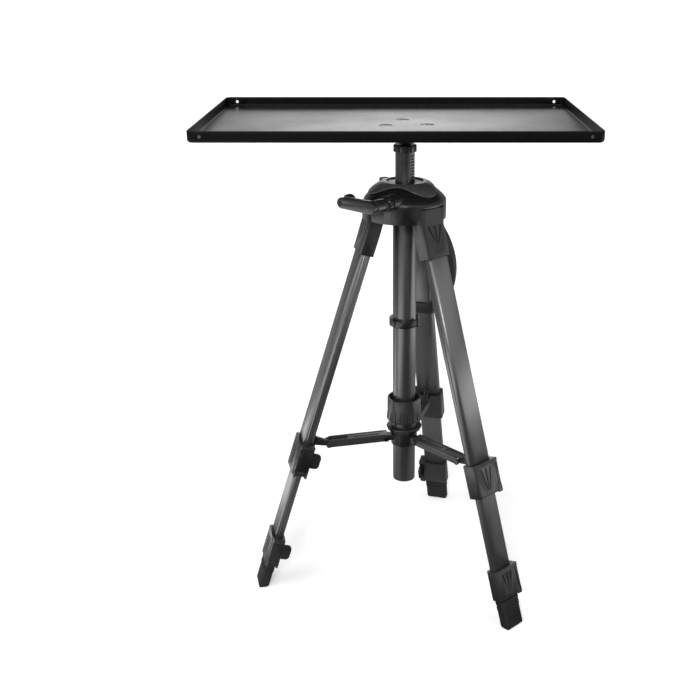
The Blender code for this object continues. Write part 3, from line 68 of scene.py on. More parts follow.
# %% Camera
CAMERA_PLACE = (-0.0007, -1.0593, 0.6721)
CAMERA_TILT = 68.92
CAMERA_LENS = 52.41
CAMERA_SHIFT = -0.0643
SENSOR_WIDTH = 36.0
FARTHEST_SEEN = 100.0
camera_data = bpy.data.cameras.new("photo_camera")
camera = bpy.data.objects.new("photo_camera", camera_data)
bpy.context.scene.collection.objects.link(camera)
camera_data.sensor_width = SENSOR_WIDTH
camera_data.lens = CAMERA_LENS
camera_data.shift_x = CAMERA_SHIFT
camera_data.clip_end = FARTHEST_SEEN
camera.location = CAMERA_PLACE
camera.rotation_euler = (radians(CAMERA_TILT), 0.0, 0.0)
bpy.context.scene.camera = camera

# %% [markdown]
# ## Studio
#
# A white floor that runs far back makes the white background. The lamps stay at a plain level,
# so that each finish shows about the colour that it is given. Two wide suns stand for soft
# boxes at the sides, and a narrower one shines in low from the front, below the tray. Dark
# glossy things show what they reflect, so reflections get a room of their own, dimmer than the
# background. In it a black card in front puts the dark stripe down the round column. Pale
# cards left and right of it draw the light bands beside the stripe, one high in front lights
# the upper edges, and one behind lights the tray's floor from its middle outwards.

# %% Studio
BACKGROUND = (1.0, 1.0, 1.0, 1.0)
BLACK = (0.0, 0.0, 0.0, 1.0)
AMBIENT_STRENGTH = 0.42
REFLECTED_STRENGTH = 0.30
FLOOR_REACH = 40.0
FLOOR_SIDES = 64
FLOOR_ROUGHNESS = 0.9
FLOOR_WHITE = 0.86
FLOOR_REFLECTED = 0.38
FLOOR_GLOW = 0.30
FLOOR_GLOW_REFLECTED = 0.05
FLAG_SIZE = (0.66, 1.7)
FLAG_PLACE = (0.24, -0.95, 0.002)
FLAG_HEIGHT = 1.6
FLAG_BLACK = (0.01, 0.01, 0.01, 1.0)
GLOW_SIZE = (1.24, 1.1)
GLOW_PLACE = (0.0, 1.6, 0.62)
GLOW_STRENGTH = 1.60
STRIP_STRENGTH = 2.4
STRIPS = (
    ("studio_strip_left", (1.065, 1.35), (-0.79, -0.425, 0.003), 0.0),
    ("studio_strip_right", (2.48, 1.3), (1.86, -0.05, 0.003), 0.0),
    ("studio_softbox", (1.6, 1.0), (-0.1, -1.5, 1.55), 130.0),
)
SUNS = (
    {"name": "soft_key", "strength": 1.15, "spread": 50.0, "tilt": 42.0, "turn": -58.0},
    {"name": "soft_fill", "strength": 0.7, "spread": 70.0, "tilt": 50.0, "turn": 62.0},
    {"name": "front_fill", "strength": 1.6, "spread": 14.0, "tilt": 62.0, "turn": -8.0},
)


def scene_object(name, shape):
    """A new object at the origin, from a bmesh that is used up."""
    mesh = bpy.data.meshes.new(name)
    shape.to_mesh(mesh)
    shape.free()
    made = bpy.data.objects.new(name, mesh)
    bpy.context.scene.collection.objects.link(made)
    return made


def by_ray(tree, seen, reflected, scattered):
    """One value for camera and transmission rays, one for glossy rays, and one for the rest."""
    path = tree.nodes.new("ShaderNodeLightPath")
    direct = tree.nodes.new("ShaderNodeMath")
    direct.operation = "MAXIMUM"
    tree.links.new(path.outputs["Is Camera Ray"], direct.inputs[0])
    tree.links.new(path.outputs["Is Transmission Ray"], direct.inputs[1])
    value = None
    for switch, chosen in ((path.outputs["Is Glossy Ray"], reflected), (direct.outputs[0], seen)):
        mix = tree.nodes.new("ShaderNodeMapRange")
        mix.inputs["To Min"].default_value = scattered
        mix.inputs["To Max"].default_value = chosen
        if value is not None:
            tree.links.new(value, mix.inputs["To Min"])
        tree.links.new(switch, mix.inputs["Value"])
        value = mix.outputs["Result"]
    return value


def dull_material(name, colour):
    """A material with no shine, for what stands round the object."""
    material = bpy.data.materials.new(name)
    material.use_nodes = True
    tree = material.node_tree
    shader = tree.nodes["Principled BSDF"]
    shader.inputs["Base Color"].default_value = colour
    shader.inputs["Specular IOR Level"].default_value = 0.0
    shader.inputs["Emission Color"].default_value = BACKGROUND
    return material, tree, shader


def build_world():
    world = bpy.data.worlds.new("studio")
    bpy.context.scene.world = world
    world.use_nodes = True
    tree = world.node_tree
    background = tree.nodes["Background"]
    background.inputs["Color"].default_value = BACKGROUND
    strength = by_ray(tree, 1.0, REFLECTED_STRENGTH, AMBIENT_STRENGTH)
    tree.links.new(strength, background.inputs["Strength"])


def build_floor():
    shape = bmesh.new()
    bmesh.ops.create_circle(shape, cap_ends=True, segments=FLOOR_SIDES, radius=FLOOR_REACH)
    floor = scene_object("studio_floor", shape)
    material, tree, shader = dull_material("studio_white", BACKGROUND)
    shader.inputs["Roughness"].default_value = FLOOR_ROUGHNESS
    white = by_ray(tree, FLOOR_WHITE, FLOOR_REFLECTED, FLOOR_WHITE)
    glow = by_ray(tree, FLOOR_GLOW, FLOOR_GLOW_REFLECTED, 0.0)
    tree.links.new(white, shader.inputs["Base Color"])
    tree.links.new(glow, shader.inputs["Emission Strength"])
    floor.data.materials.append(material)


def card_shape(size, place, tilt=0.0):
    """A flat card that faces up, or is turned back round X by the tilt."""
    shape = bmesh.new()
    bmesh.ops.create_grid(shape, x_segments=1, y_segments=1, size=0.5)
    bmesh.ops.scale(shape, vec=(*size, 1.0), verts=shape.verts)
    bmesh.ops.rotate(shape, matrix=Matrix.Rotation(radians(tilt), 3, "X"), verts=shape.verts)
    bmesh.ops.translate(shape, vec=place, verts=shape.verts)
    return shape


def stage_card(name, shape, material):
    """A card that only reflections see."""
    card = scene_object(name, shape)
    card.data.materials.append(material)
    card.visible_camera = False
    card.visible_diffuse = False
    card.visible_shadow = False
    card.visible_transmission = False


def build_flag():
    """A dark L of card, on the floor and standing."""
    shape = card_shape(FLAG_SIZE, FLAG_PLACE)
    front = [edge for edge in shape.edges if max(v.co.y for v in edge.verts) < FLAG_PLACE[1]]
    raised = bmesh.ops.extrude_edge_only(shape, edges=front)["geom"]
    top = [item for item in raised if isinstance(item, bmesh.types.BMVert)]
    bmesh.ops.translate(shape, vec=(0.0, 0.0, FLAG_HEIGHT), verts=top)
    material, _, _ = dull_material("studio_black", FLAG_BLACK)
    stage_card("studio_flag", shape, material)


def build_glow():
    """A card behind the stand that glows in its middle and fades towards its two ends."""
    material, tree, shader = dull_material("studio_glow", BLACK)
    place = tree.nodes.new("ShaderNodeTexCoord")
    parts = tree.nodes.new("ShaderNodeSeparateXYZ")
    tree.links.new(place.outputs["Object"], parts.inputs["Vector"])
    away = tree.nodes.new("ShaderNodeMath")
    away.operation = "ABSOLUTE"
    tree.links.new(parts.outputs["X"], away.inputs[0])
    fade = tree.nodes.new("ShaderNodeMapRange")
    fade.interpolation_type = "SMOOTHSTEP"
    fade.inputs["From Max"].default_value = GLOW_SIZE[0] / 2
    fade.inputs["To Min"].default_value = GLOW_STRENGTH
    fade.inputs["To Max"].default_value = REFLECTED_STRENGTH
    tree.links.new(away.outputs[0], fade.inputs["Value"])
    tree.links.new(fade.outputs["Result"], shader.inputs["Emission Strength"])
    stage_card("studio_glow", card_shape(GLOW_SIZE, GLOW_PLACE, 90.0), material)


def build_strips():
    """The pale cards: two on the floor, and one high up in front."""
    material, _, shader = dull_material("studio_strip", BLACK)
    shader.inputs["Emission Strength"].default_value = STRIP_STRENGTH
    for name, size, place, tilt in STRIPS:
        stage_card(name, card_shape(size, place, tilt), material)


def add_sun(name, strength, spread, tilt, turn):
    data = bpy.data.lights.new(name, "SUN")
    data.energy = strength
    data.angle = radians(spread)
    lamp = bpy.data.objects.new(name, data)
    bpy.context.scene.collection.objects.link(lamp)
    lamp.rotation_euler = (radians(tilt), 0.0, radians(turn))


build_world()
build_floor()
build_flag()
build_glow()
build_strips()
for sun in SUNS:
    add_sun(**sun)
bpy.context.scene.view_settings.view_transform = "Standard"
print("studio ready, pale cards:", len(STRIPS), "suns:", len(SUNS))

# %% [markdown]
# ## Directions on the folding legs
#
# Each leg leans its own way, and its brushed lines have to lean with it. The model's joints
# say where: a leg turns about its hinge pin, and its sections slide down its length. From those
# two directions comes a matrix that carries points from a leg's own frame to the stand's.

# %% Leg frames
LEGS = ("right", "back", "left")


def leg_matrix(name):
    """Origin on the hinge pin, +X out through the wide face, +Y along the pin, +Z up the leg."""
    hinge = joints["leg_fold_" + name]
    across = Vector(hinge["axis"]).normalized()
    up = -Vector(joints["middle_slide_" + name]["axis"]).normalized()
    out = across.cross(up)
    turn = Matrix((out, across, up)).transposed().to_4x4()
    return Matrix.Translation(hinge["pos_m"]) @ turn


leg_frames = {name: leg_matrix(name) for name in LEGS}
for name in LEGS:
    print(name, "leg leans", [round(value, 3) for value in leg_frames[name].col[2][:3]])

# %% [markdown]
# ## Finishes
#
# The real stand is almost without colour: black paint, dark grey plastic and grey anodised
# tube. What tells them apart is how they shine. So each finish is one Principled shader with
# its own roughness pattern and a little bump, both from noise that is read in Object
# coordinates, where it has a real size and can't slide.

# %% Helpers for finishes
NOISE_DARK = 0.3
NOISE_LIGHT = 0.7


def new_finish(name, colour, roughness, metallic=0.0, specular=0.5):
    material = bpy.data.materials.new(name)
    material.use_nodes = True
    shader = material.node_tree.nodes["Principled BSDF"]
    shader.inputs["Base Color"].default_value = (*colour, 1.0)
    shader.inputs["Roughness"].default_value = roughness
    shader.inputs["Metallic"].default_value = metallic
    shader.inputs["Specular IOR Level"].default_value = specular
    return material, material.node_tree, shader


def place_pattern(tree, matrix=None, stretch=(1.0, 1.0, 1.0)):
    """Object coordinates, turned into a piece's own frame and stretched."""
    coordinates = tree.nodes.new("ShaderNodeTexCoord")
    mapping = tree.nodes.new("ShaderNodeMapping")
    mapping.vector_type = "POINT"
    if matrix is not None:
        inverse = matrix.inverted()
        mapping.inputs["Location"].default_value = inverse.to_translation()
        mapping.inputs["Rotation"].default_value = inverse.to_euler()
    scaled = tree.nodes.new("ShaderNodeVectorMath")
    scaled.operation = "MULTIPLY"
    scaled.inputs[1].default_value = stretch
    tree.links.new(coordinates.outputs["Object"], mapping.inputs["Vector"])
    tree.links.new(mapping.outputs["Vector"], scaled.inputs[0])
    return scaled.outputs["Vector"]


def noise(tree, vector, scale, detail=3.0):
    texture = tree.nodes.new("ShaderNodeTexNoise")
    texture.inputs["Scale"].default_value = scale
    texture.inputs["Detail"].default_value = detail
    tree.links.new(vector, texture.inputs["Vector"])
    return texture.outputs["Fac"]


def remap(tree, value, low, high, start=NOISE_DARK, end=NOISE_LIGHT):
    """The value spread from low to high. Noise seldom leaves the range that is assumed here."""
    spread = tree.nodes.new("ShaderNodeMapRange")
    spread.inputs["From Min"].default_value = start
    spread.inputs["From Max"].default_value = end
    spread.inputs["To Min"].default_value = low
    spread.inputs["To Max"].default_value = high
    tree.links.new(value, spread.inputs["Value"])
    return spread.outputs["Result"]


def shade(colour, factor):
    return tuple(factor * value for value in colour)


def tint(tree, value, dark, light, socket):
    ramp = tree.nodes.new("ShaderNodeValToRGB")
    ramp.color_ramp.elements[0].position = NOISE_DARK
    ramp.color_ramp.elements[0].color = (*dark, 1.0)
    ramp.color_ramp.elements[1].position = NOISE_LIGHT
    ramp.color_ramp.elements[1].color = (*light, 1.0)
    tree.links.new(value, ramp.inputs["Fac"])
    tree.links.new(ramp.outputs["Color"], socket)


def add_bump(tree, shader, height, distance, strength=1.0):
    bump = tree.nodes.new("ShaderNodeBump")
    bump.inputs["Distance"].default_value = distance
    bump.inputs["Strength"].default_value = strength
    tree.links.new(height, bump.inputs["Height"])
    tree.links.new(bump.outputs["Normal"], shader.inputs["Normal"])


# %% [markdown]
# ### Anodised tube
#
# The tubes are drawn aluminium, brushed along their length and dyed a titanium grey. Noise that
# is squeezed across the tube and drawn out along it gives the fine lines, and broad clouds let
# the dye vary a little. The same lines vary the shine and lift the surface by a few microns,
# which breaks up the long highlights.

# %% Anodised tube
TUBE_GREY = (0.160, 0.160, 0.164)
TUBE_ROUGHNESS = 0.36
COLUMN_GREY = (0.120, 0.120, 0.124)
COLUMN_ROUGHNESS = 0.34
ANODISED_METAL = 0.85
LINE_SCALE = 5200.0
LINE_STRETCH = (1.0, 1.0, 0.012)
LINE_SHARE = 0.65
LINE_SHINE = 0.03
LINE_HEIGHT = 0.00001
LINE_STRENGTH = 0.4
CLOUD_SCALE = 55.0
CLOUD_STRETCH = (1.0, 1.0, 0.25)
CLOUD_SHARE = 0.35
DYE_DARK = 0.90
DYE_LIGHT = 1.08


def anodised(name, matrix, colour, roughness):
    material, tree, shader = new_finish(name, colour, roughness, metallic=ANODISED_METAL)
    lines = noise(tree, place_pattern(tree, matrix, LINE_STRETCH), LINE_SCALE)
    clouds = noise(tree, place_pattern(tree, matrix, CLOUD_STRETCH), CLOUD_SCALE, 2.0)
    mixed = tree.nodes.new("ShaderNodeMath")
    mixed.operation = "MULTIPLY_ADD"
    mixed.inputs[1].default_value = CLOUD_SHARE
    tree.links.new(clouds, mixed.inputs[0])
    tree.links.new(remap(tree, lines, 0.0, LINE_SHARE, 0.0, 1.0), mixed.inputs[2])
    dark, light = shade(colour, DYE_DARK), shade(colour, DYE_LIGHT)
    tint(tree, mixed.outputs[0], dark, light, shader.inputs["Base Color"])
    shine = remap(tree, lines, roughness - LINE_SHINE, roughness + LINE_SHINE)
    tree.links.new(shine, shader.inputs["Roughness"])
    add_bump(tree, shader, lines, LINE_HEIGHT, LINE_STRENGTH)
    return material


tube_finish = {
    name: anodised("anodised_tube_" + name, leg_frames[name], TUBE_GREY, TUBE_ROUGHNESS)
    for name in LEGS
}
column_finish = anodised("anodised_column", None, COLUMN_GREY, COLUMN_ROUGHNESS)
print("anodised finishes:", len(tube_finish) + 1)

# %% [markdown]
# ### Moulded plastic and rubber
#
# The fittings come out of a mould with a faint leather-like grain, and fingers polish them in
# places. Fine noise is the grain, and broad noise is the handling. The feet and the grip are
# duller and softer, so their noise is coarser and their roughness higher.

# %% Moulded plastic and rubber
HANDLING_SCALE = 38.0
HANDLING_SHINE = 0.07
HANDLING_DARK = 0.78
HANDLING_LIGHT = 1.25
GRAIN_STRENGTH = 0.7


def moulded(name, colour, roughness, grain=900.0, depth=0.00004, specular=0.45):
    material, tree, shader = new_finish(name, colour, roughness, specular=specular)
    place = place_pattern(tree)
    fine = noise(tree, place, grain, 2.0)
    broad = noise(tree, place, HANDLING_SCALE)
    dark, light = shade(colour, HANDLING_DARK), shade(colour, HANDLING_LIGHT)
    tint(tree, broad, dark, light, shader.inputs["Base Color"])
    shine = remap(tree, broad, roughness - HANDLING_SHINE, roughness + HANDLING_SHINE)
    tree.links.new(shine, shader.inputs["Roughness"])
    add_bump(tree, shader, fine, depth, GRAIN_STRENGTH)
    return material


plastic_black = moulded("moulded_black", (0.010, 0.010, 0.0105), 0.28)
plastic_grey = moulded("moulded_grey", (0.019, 0.019, 0.020), 0.30)
# The cover's colour is several times lighter than the black plastic: painted light, which stands in
# for the front light on the top of the dome.
cover_plastic_painted_light = moulded("moulded_cover_painted_light", (0.072, 0.072, 0.074), 0.30, 700.0, 0.00003)
rubber = moulded("foot_rubber", (0.013, 0.013, 0.0135), 0.60, 500.0, 0.00008, 0.3)
strap_rubber = moulded("strap_rubber", (0.020, 0.020, 0.021), 0.50, 600.0, 0.00006, 0.4)

# %% [markdown]
# ### Steel, and paint on steel
#
# Screws and pins are plated steel, which is bright and faintly turned. The brace arms and the
# plate below the tray are painted. The tray has a fine powder coat, whose texture is like an
# orange's skin seen from far away. The floor's coat is glossier than the walls', so the floor
# glows at a low angle. The walls get a copy of the same coat that is four times darker and
# reflects less: painted shade, which keeps them black.

# %% Steel and paint
TURNING_SCALE = 420.0
TURNING_STRETCH = (1.0, 1.0, 6.0)
TURNING_SMOOTHER = 0.08
TURNING_ROUGHER = 0.10
TURNING_DARK = 0.8
TURNING_HEIGHT = 0.00001
TURNING_STRENGTH = 0.5
PATCH_SCALE = 14.0
PATCH_SMOOTHER = 0.04
PATCH_ROUGHER = 0.05
PEEL_DARK = 0.85
PEEL_LIGHT = 1.15
PEEL_HEIGHT = 0.00004
PEEL_STRENGTH = 0.8


def plated(name, colour, roughness):
    material, tree, shader = new_finish(name, colour, roughness, metallic=1.0)
    marks = noise(tree, place_pattern(tree, None, TURNING_STRETCH), TURNING_SCALE, 4.0)
    shine = remap(tree, marks, roughness - TURNING_SMOOTHER, roughness + TURNING_ROUGHER)
    tree.links.new(shine, shader.inputs["Roughness"])
    tint(tree, marks, shade(colour, TURNING_DARK), colour, shader.inputs["Base Color"])
    add_bump(tree, shader, marks, TURNING_HEIGHT, TURNING_STRENGTH)
    return material


def powder_coat(name, colour, roughness, peel=1500.0, specular=0.5):
    material, tree, shader = new_finish(name, colour, roughness, specular=specular)
    place = place_pattern(tree)
    skin = noise(tree, place, peel, 2.0)
    patches = noise(tree, place, PATCH_SCALE)
    shine = remap(tree, patches, roughness - PATCH_SMOOTHER, roughness + PATCH_ROUGHER)
    tree.links.new(shine, shader.inputs["Roughness"])
    dark, light = shade(colour, PEEL_DARK), shade(colour, PEEL_LIGHT)
    tint(tree, skin, dark, light, shader.inputs["Base Color"])
    add_bump(tree, shader, skin, PEEL_HEIGHT, PEEL_STRENGTH)
    return material


steel = plated("plated_steel", (0.42, 0.42, 0.43), 0.28)
black_steel = plated("blackened_steel", (0.055, 0.055, 0.058), 0.36)
arm_paint = powder_coat("brace_paint", (0.022, 0.022, 0.023), 0.36, 900.0)
tray_floor_paint = powder_coat("tray_floor_paint", (0.010, 0.010, 0.0105), 0.22)
# The walls' copy of the tray's coat, darker and duller than the floor's: painted shade.
tray_wall_painted_shade = powder_coat("tray_wall_painted_shade", (0.0025, 0.0025, 0.0026), 0.40, specular=0.10)
print("finishes:", len(bpy.data.materials))

# %% [markdown]
# ## Rounded edges on the CAD pieces
#
# No moulded or pressed edge is perfectly sharp, and the thin light line along an edge is what
# makes a dark object readable. Each CAD piece keeps its mesh. Weld joins its loose triangles,
# a planar Decimate merges the flat ones, and Bevel rounds what is still sharp.

# %% Give each CAD piece its finish and its rounded edges
WELD_REACH = 0.00001
FLAT_ANGLE = 1.5
EDGE_ANGLE = 32.0
TUBE_EDGE = 0.00015


def finish_node(name, material, width, segments=3):
    piece = nodes[name]
    piece.data.materials.clear()
    piece.data.materials.append(material)
    for polygon in piece.data.polygons:
        polygon.use_smooth = True
    weld = piece.modifiers.new("weld", "WELD")
    weld.merge_threshold = WELD_REACH
    flat = piece.modifiers.new("flat", "DECIMATE")
    flat.decimate_type = "DISSOLVE"
    flat.angle_limit = radians(FLAT_ANGLE)
    bevel = piece.modifiers.new("bevel", "BEVEL")
    bevel.limit_method = "ANGLE"
    bevel.angle_limit = radians(EDGE_ANGLE)
    bevel.width = width
    bevel.segments = segments
    bevel.harden_normals = True
    bevel.use_clamp_overlap = True


leg_looks = {
    "hinge_pin": (black_steel, 0.0003),
    "arm_pin": (black_steel, 0.0002),
    "brace_arm": (arm_paint, 0.0003),
    "leg_fitting": (plastic_grey, 0.0008),
    "upper_lock": (plastic_grey, 0.0008),
    "upper_lever": (plastic_black, 0.0005),
    "lower_lock": (plastic_grey, 0.0008),
    "lower_lever": (plastic_black, 0.0005),
    "foot": (rubber, 0.0025),
    "tray_screw": (tray_floor_paint, 0.0002),
}
leg_tubes = ("upper_tube", "middle_tube", "lower_tube")
for leg in LEGS:
    for stem, (material, width) in leg_looks.items():
        finish_node(f"{stem}_{leg}", material, width)
    for stem in leg_tubes:
        finish_node(f"{stem}_{leg}", tube_finish[leg], TUBE_EDGE, 1)
single_looks = {
    "head_body": (plastic_black, 0.0005),
    # Lightened colour: painted light on the dome.
    "head_cover": (cover_plastic_painted_light, 0.0004),
    "bubble_level": (plastic_grey, 0.0002),
    "column_tube": (column_finish, 0.0003),
    "column_bush": (plastic_grey, 0.0005),
    "column_clip": (plastic_black, 0.0005),
    "column_collar": (black_steel, 0.0002),
    "geared_column": (column_finish, 0.00015),
    "crank_shaft": (steel, 0.0002),
    "crank_arm": (plastic_grey, 0.0006),
    "crank_knob": (plastic_black, 0.0004),
    "crank_lock_nut": (plastic_black, 0.0003),
    "knob_pin": (black_steel, 0.0002),
    # The tray's darker copy of its coat, as painted shade.
    "tray_pan": (tray_wall_painted_shade, 0.0003),
    "tray_plate": (black_steel, 0.0004),
    "tray_stud": (steel, 0.0002),
    "tray_lock_nut": (black_steel, 0.0003),
    "brace_hub": (plastic_black, 0.0005),
    "brace_lock_collar": (plastic_grey, 0.0005),
    "carry_handle": (strap_rubber, 0.0006),
    "handle_band": (plastic_grey, 0.0005),
}
for name, (material, width) in single_looks.items():
    finish_node(name, material, width)
print("finished CAD pieces:", len(LEGS) * (len(leg_looks) + len(leg_tubes)) + len(single_looks))

# %% [markdown]
# ## Helpers for new pieces
#
# The pieces from here on are made in this script. Each starts as a bmesh, gets its place in
# the stand's frame, and is then handed to one function that shades it, gives it its finish,
# parents it to an empty named after the moving body that it rides on, and hides the CAD piece
# that it stands for.

# %% Finish a new piece
TURNED_STEPS = 48
SHARP_FOLD = 1.0


def finish_piece(name, shape, materials, body, stands_for=()):
    piece = scene_object(name, shape)
    piece.data.shade_smooth()
    piece.data.set_sharp_from_angle(angle=radians(EDGE_ANGLE))
    for material in materials:
        piece.data.materials.append(material)
    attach(piece, body)
    if stands_for:
        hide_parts(*stands_for)
    print(name, "faces:", len(piece.data.polygons))


def transform(shape, matrix):
    bmesh.ops.transform(shape, matrix=matrix, verts=shape.verts)
    return shape


def is_folded(edge):
    """Whether the two faces beside an edge meet at a clear angle, over a radian."""
    return edge.calc_face_angle(0.0) > SHARP_FOLD


def every_edge(edge):
    return True


def round_edges(shape, chosen, width, segments=2):
    edges = [edge for edge in shape.edges if chosen(edge)]
    bmesh.ops.bevel(
        shape, geom=edges, affect="EDGES", offset=width, offset_type="OFFSET",
        segments=segments, profile=0.5, material=-1, clamp_overlap=True,
    )


def box_shape(low, high):
    """A box between two corners."""
    shape = bmesh.new()
    bmesh.ops.create_cube(shape, size=1.0)
    low, high = Vector(low), Vector(high)
    bmesh.ops.scale(shape, vec=high - low, verts=shape.verts)
    bmesh.ops.translate(shape, vec=(low + high) / 2, verts=shape.verts)
    return shape


def turned_shape(profile):
    """A closed outline of (radius, z) points, spun once round Z."""
    shape = bmesh.new()
    corners = [shape.verts.new((radius, 0.0, z)) for radius, z in profile]
    edges = [shape.edges.new(pair) for pair in zip(corners, corners[1:] + corners[:1])]
    bmesh.ops.spin(
        shape, geom=corners + edges, axis=(0, 0, 1), cent=(0, 0, 0),
        angle=2 * pi, steps=TURNED_STEPS, use_merge=True,
    )
    bmesh.ops.remove_doubles(shape, verts=shape.verts, dist=1e-7)
    bmesh.ops.recalc_face_normals(shape, faces=shape.faces)
    return shape


def rod_shape(radius, low, high, steps=24):
    shape = bmesh.new()
    bmesh.ops.create_cone(
        shape, cap_ends=True, segments=steps, radius1=radius, radius2=radius, depth=high - low
    )
    bmesh.ops.translate(shape, vec=(0, 0, (low + high) / 2), verts=shape.verts)
    return shape


def gather(shapes):
    """Several bmeshes as one."""
    whole = bmesh.new()
    for shape in shapes:
        mesh = bpy.data.meshes.new("gathered")
        shape.to_mesh(mesh)
        shape.free()
        whole.from_mesh(mesh)
        bpy.data.meshes.remove(mesh)
    return whole


def modified_shape(piece):
    """A piece's shape after its modifiers, as a bmesh. The piece itself is removed."""
    graph = bpy.context.evaluated_depsgraph_get()
    shape = bmesh.new()
    shape.from_mesh(bpy.data.meshes.new_from_object(piece.evaluated_get(graph)))
    bpy.data.objects.remove(piece, do_unlink=True)
    return shape


def cut_away(shape, cutter):
    """The shape with the cutter's volume removed by an exact Boolean."""
    target = scene_object("work", shape)
    helper = scene_object("cutter", cutter)
    boolean = target.modifiers.new("cut", "BOOLEAN")
    boolean.operation = "DIFFERENCE"
    boolean.object = helper
    result = modified_shape(target)
    bpy.data.objects.remove(helper, do_unlink=True)
    return result


def thickened(shape, wall, even=False):
    """A sheet given its wall on the inner side."""
    piece = scene_object("sheet", shape)
    thick = piece.modifiers.new("wall", "SOLIDIFY")
    thick.thickness = wall
    thick.offset = -1.0
    thick.use_even_offset = even
    return modified_shape(piece)


# %% [markdown]
# ## The tray
#
# The real tray is one steel sheet with its four edges folded up. A box with a hollow would have
# dead-sharp folds, so this one is folded as the real one is: a flat sheet with rounded corners,
# its border extruded up into walls, the fold bevelled into a small bend, and then the sheet's
# thickness added inwards. The bend is what draws the thin bright line round the floor.

# %% Fold the tray
SHEET = 0.0012
TRAY_CORNER = 0.0060
FOLD_RADIUS = 0.0026
WALL_HOLE_RADIUS = 0.0016
WALL_HOLE_INSET = 0.0120
WALL_HOLE_RISE = 0.0058
SINK_RADIUS = 0.0049
SINK_SLOPE = 1.5
RIM_ROUND = 0.0004
CUTTER_REACH = 0.2
FLAT_UPWARD = 0.95
tray_low, tray_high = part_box("tray_pan")
tray_middle = (tray_low + tray_high) / 2
column_x, column_y = joints["tray_turn"]["pos_m"][:2]


def folded_sheet():
    shape = bmesh.new()
    bmesh.ops.create_grid(shape, x_segments=1, y_segments=1, size=0.5)
    size = tray_high - tray_low
    bmesh.ops.scale(shape, vec=(size.x, size.y, 1.0), verts=shape.verts)
    bmesh.ops.bevel(
        shape, geom=shape.verts[:], affect="VERTICES", offset=TRAY_CORNER, segments=6,
        profile=0.5, material=-1,
    )
    bmesh.ops.reverse_faces(shape, faces=shape.faces)
    border = [edge for edge in shape.edges if edge.is_boundary]
    raised = bmesh.ops.extrude_edge_only(shape, edges=border)["geom"]
    rim = [item for item in raised if isinstance(item, bmesh.types.BMVert)]
    bmesh.ops.translate(shape, vec=(0, 0, size.z), verts=rim)
    fold = [edge for edge in border if not edge.is_boundary]
    bmesh.ops.bevel(
        shape, geom=fold, affect="EDGES", offset=FOLD_RADIUS, offset_type="OFFSET",
        segments=4, profile=0.5, material=-1,
    )
    bmesh.ops.translate(
        shape, vec=(tray_middle.x, tray_middle.y, tray_low.z), verts=shape.verts
    )
    return shape


def wall_hole_cutters():
    """Two long rods that each go through the front and the back wall near a corner."""
    cutters = []
    for side in (-1, 1):
        x = tray_middle.x + side * ((tray_high.x - tray_low.x) / 2 - WALL_HOLE_INSET)
        hole = rod_shape(WALL_HOLE_RADIUS, -CUTTER_REACH, CUTTER_REACH)
        place = Matrix.Translation((x, tray_middle.y, tray_low.z + WALL_HOLE_RISE))
        cutters.append(transform(hole, place @ Matrix.Rotation(pi / 2, 4, "X")))
    return cutters


def tray_holes():
    """One cutter for the four holes in the walls and the three sunk ones for the screws."""
    cutters = wall_hole_cutters()
    for leg in LEGS:
        low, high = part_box("tray_screw_" + leg)
        centre = (low + high) / 2
        hole = turned_shape([
            (0.0, -SHEET), (SINK_RADIUS - SINK_SLOPE * SHEET, -SHEET),
            (SINK_RADIUS + 2 * SINK_SLOPE * SHEET, 2 * SHEET), (0.0, 2 * SHEET),
        ])
        cutters.append(transform(hole, Matrix.Translation((centre.x, centre.y, tray_low.z))))
    return gather(cutters)


def on_rim(edge):
    return is_folded(edge) and all(v.co.z > tray_high.z - WELD_REACH for v in edge.verts)


def build_tray():
    sheet = thickened(folded_sheet(), SHEET, even=True)
    round_edges(sheet, on_rim, RIM_ROUND)
    sheet = cut_away(sheet, tray_holes())
    # Only the flat floor gets the floor's coat. Every other face, the walls and the sloped sides of
    # the sunk holes among them, gets the darker copy, which is painted shade.
    for face in sheet.faces:
        low = face.calc_center_median().z < tray_low.z + 2 * SHEET
        face.material_index = 1 if low and face.normal.z > FLAT_UPWARD else 0
    finish_piece(
        "tray_sheet", sheet, (tray_wall_painted_shade, tray_floor_paint), "tray",
        ("tray_pan",),
    )


build_tray()

# %% [markdown]
# ### Corner tabs
#
# The end walls carry small tabs that are bent round behind the long walls, and the hole near
# each corner goes through both. Four thin plates with rounded edges make them, each with the
# same hole, and their edges give the short upright lines in the tray's corners.

# %% Corner tabs
TAB_LENGTH = 0.0170
TAB_HEIGHT = 0.0072
TAB_THICKNESS = 0.0009
TAB_INSET = 0.0035
TAB_DROP = 0.0006
TAB_ROUND = 0.0004


def corner_tab(side_x, side_y):
    """The tab in one corner, rounded on the face that shows."""
    wall_y = tray_high.y - SHEET if side_y > 0 else tray_low.y + SHEET
    corner_x = tray_high.x - SHEET if side_x > 0 else tray_low.x + SHEET
    across = sorted((wall_y, wall_y - side_y * TAB_THICKNESS))
    along = sorted(corner_x - side_x * inset for inset in (TAB_INSET, TAB_INSET + TAB_LENGTH))
    top = tray_high.z - TAB_DROP
    tab = box_shape((along[0], across[0], top - TAB_HEIGHT), (along[1], across[1], top))

    def shows(edge):
        return all(abs(v.co.y - wall_y) > TAB_THICKNESS / 2 for v in edge.verts)

    round_edges(tab, shows, TAB_ROUND)
    return tab


def build_tabs():
    tabs = gather([corner_tab(side_x, side_y) for side_x in (-1, 1) for side_y in (-1, 1)])
    shape = cut_away(tabs, gather(wall_hole_cutters()))
    # The tabs get the tray's darker copy of its coat, which is painted shade.
    finish_piece("tray_corner_tabs", shape, (tray_wall_painted_shade,), "tray")


build_tabs()

# %% [markdown]
# ## The head's cover
#
# The cover is a smooth dome whose edge swings low over each leg and rises between them. A
# modelled dome needs many small faces to catch a soft light without facets. One ring of edges
# is extruded outwards again and again, and each new ring is set to the dome's height there.

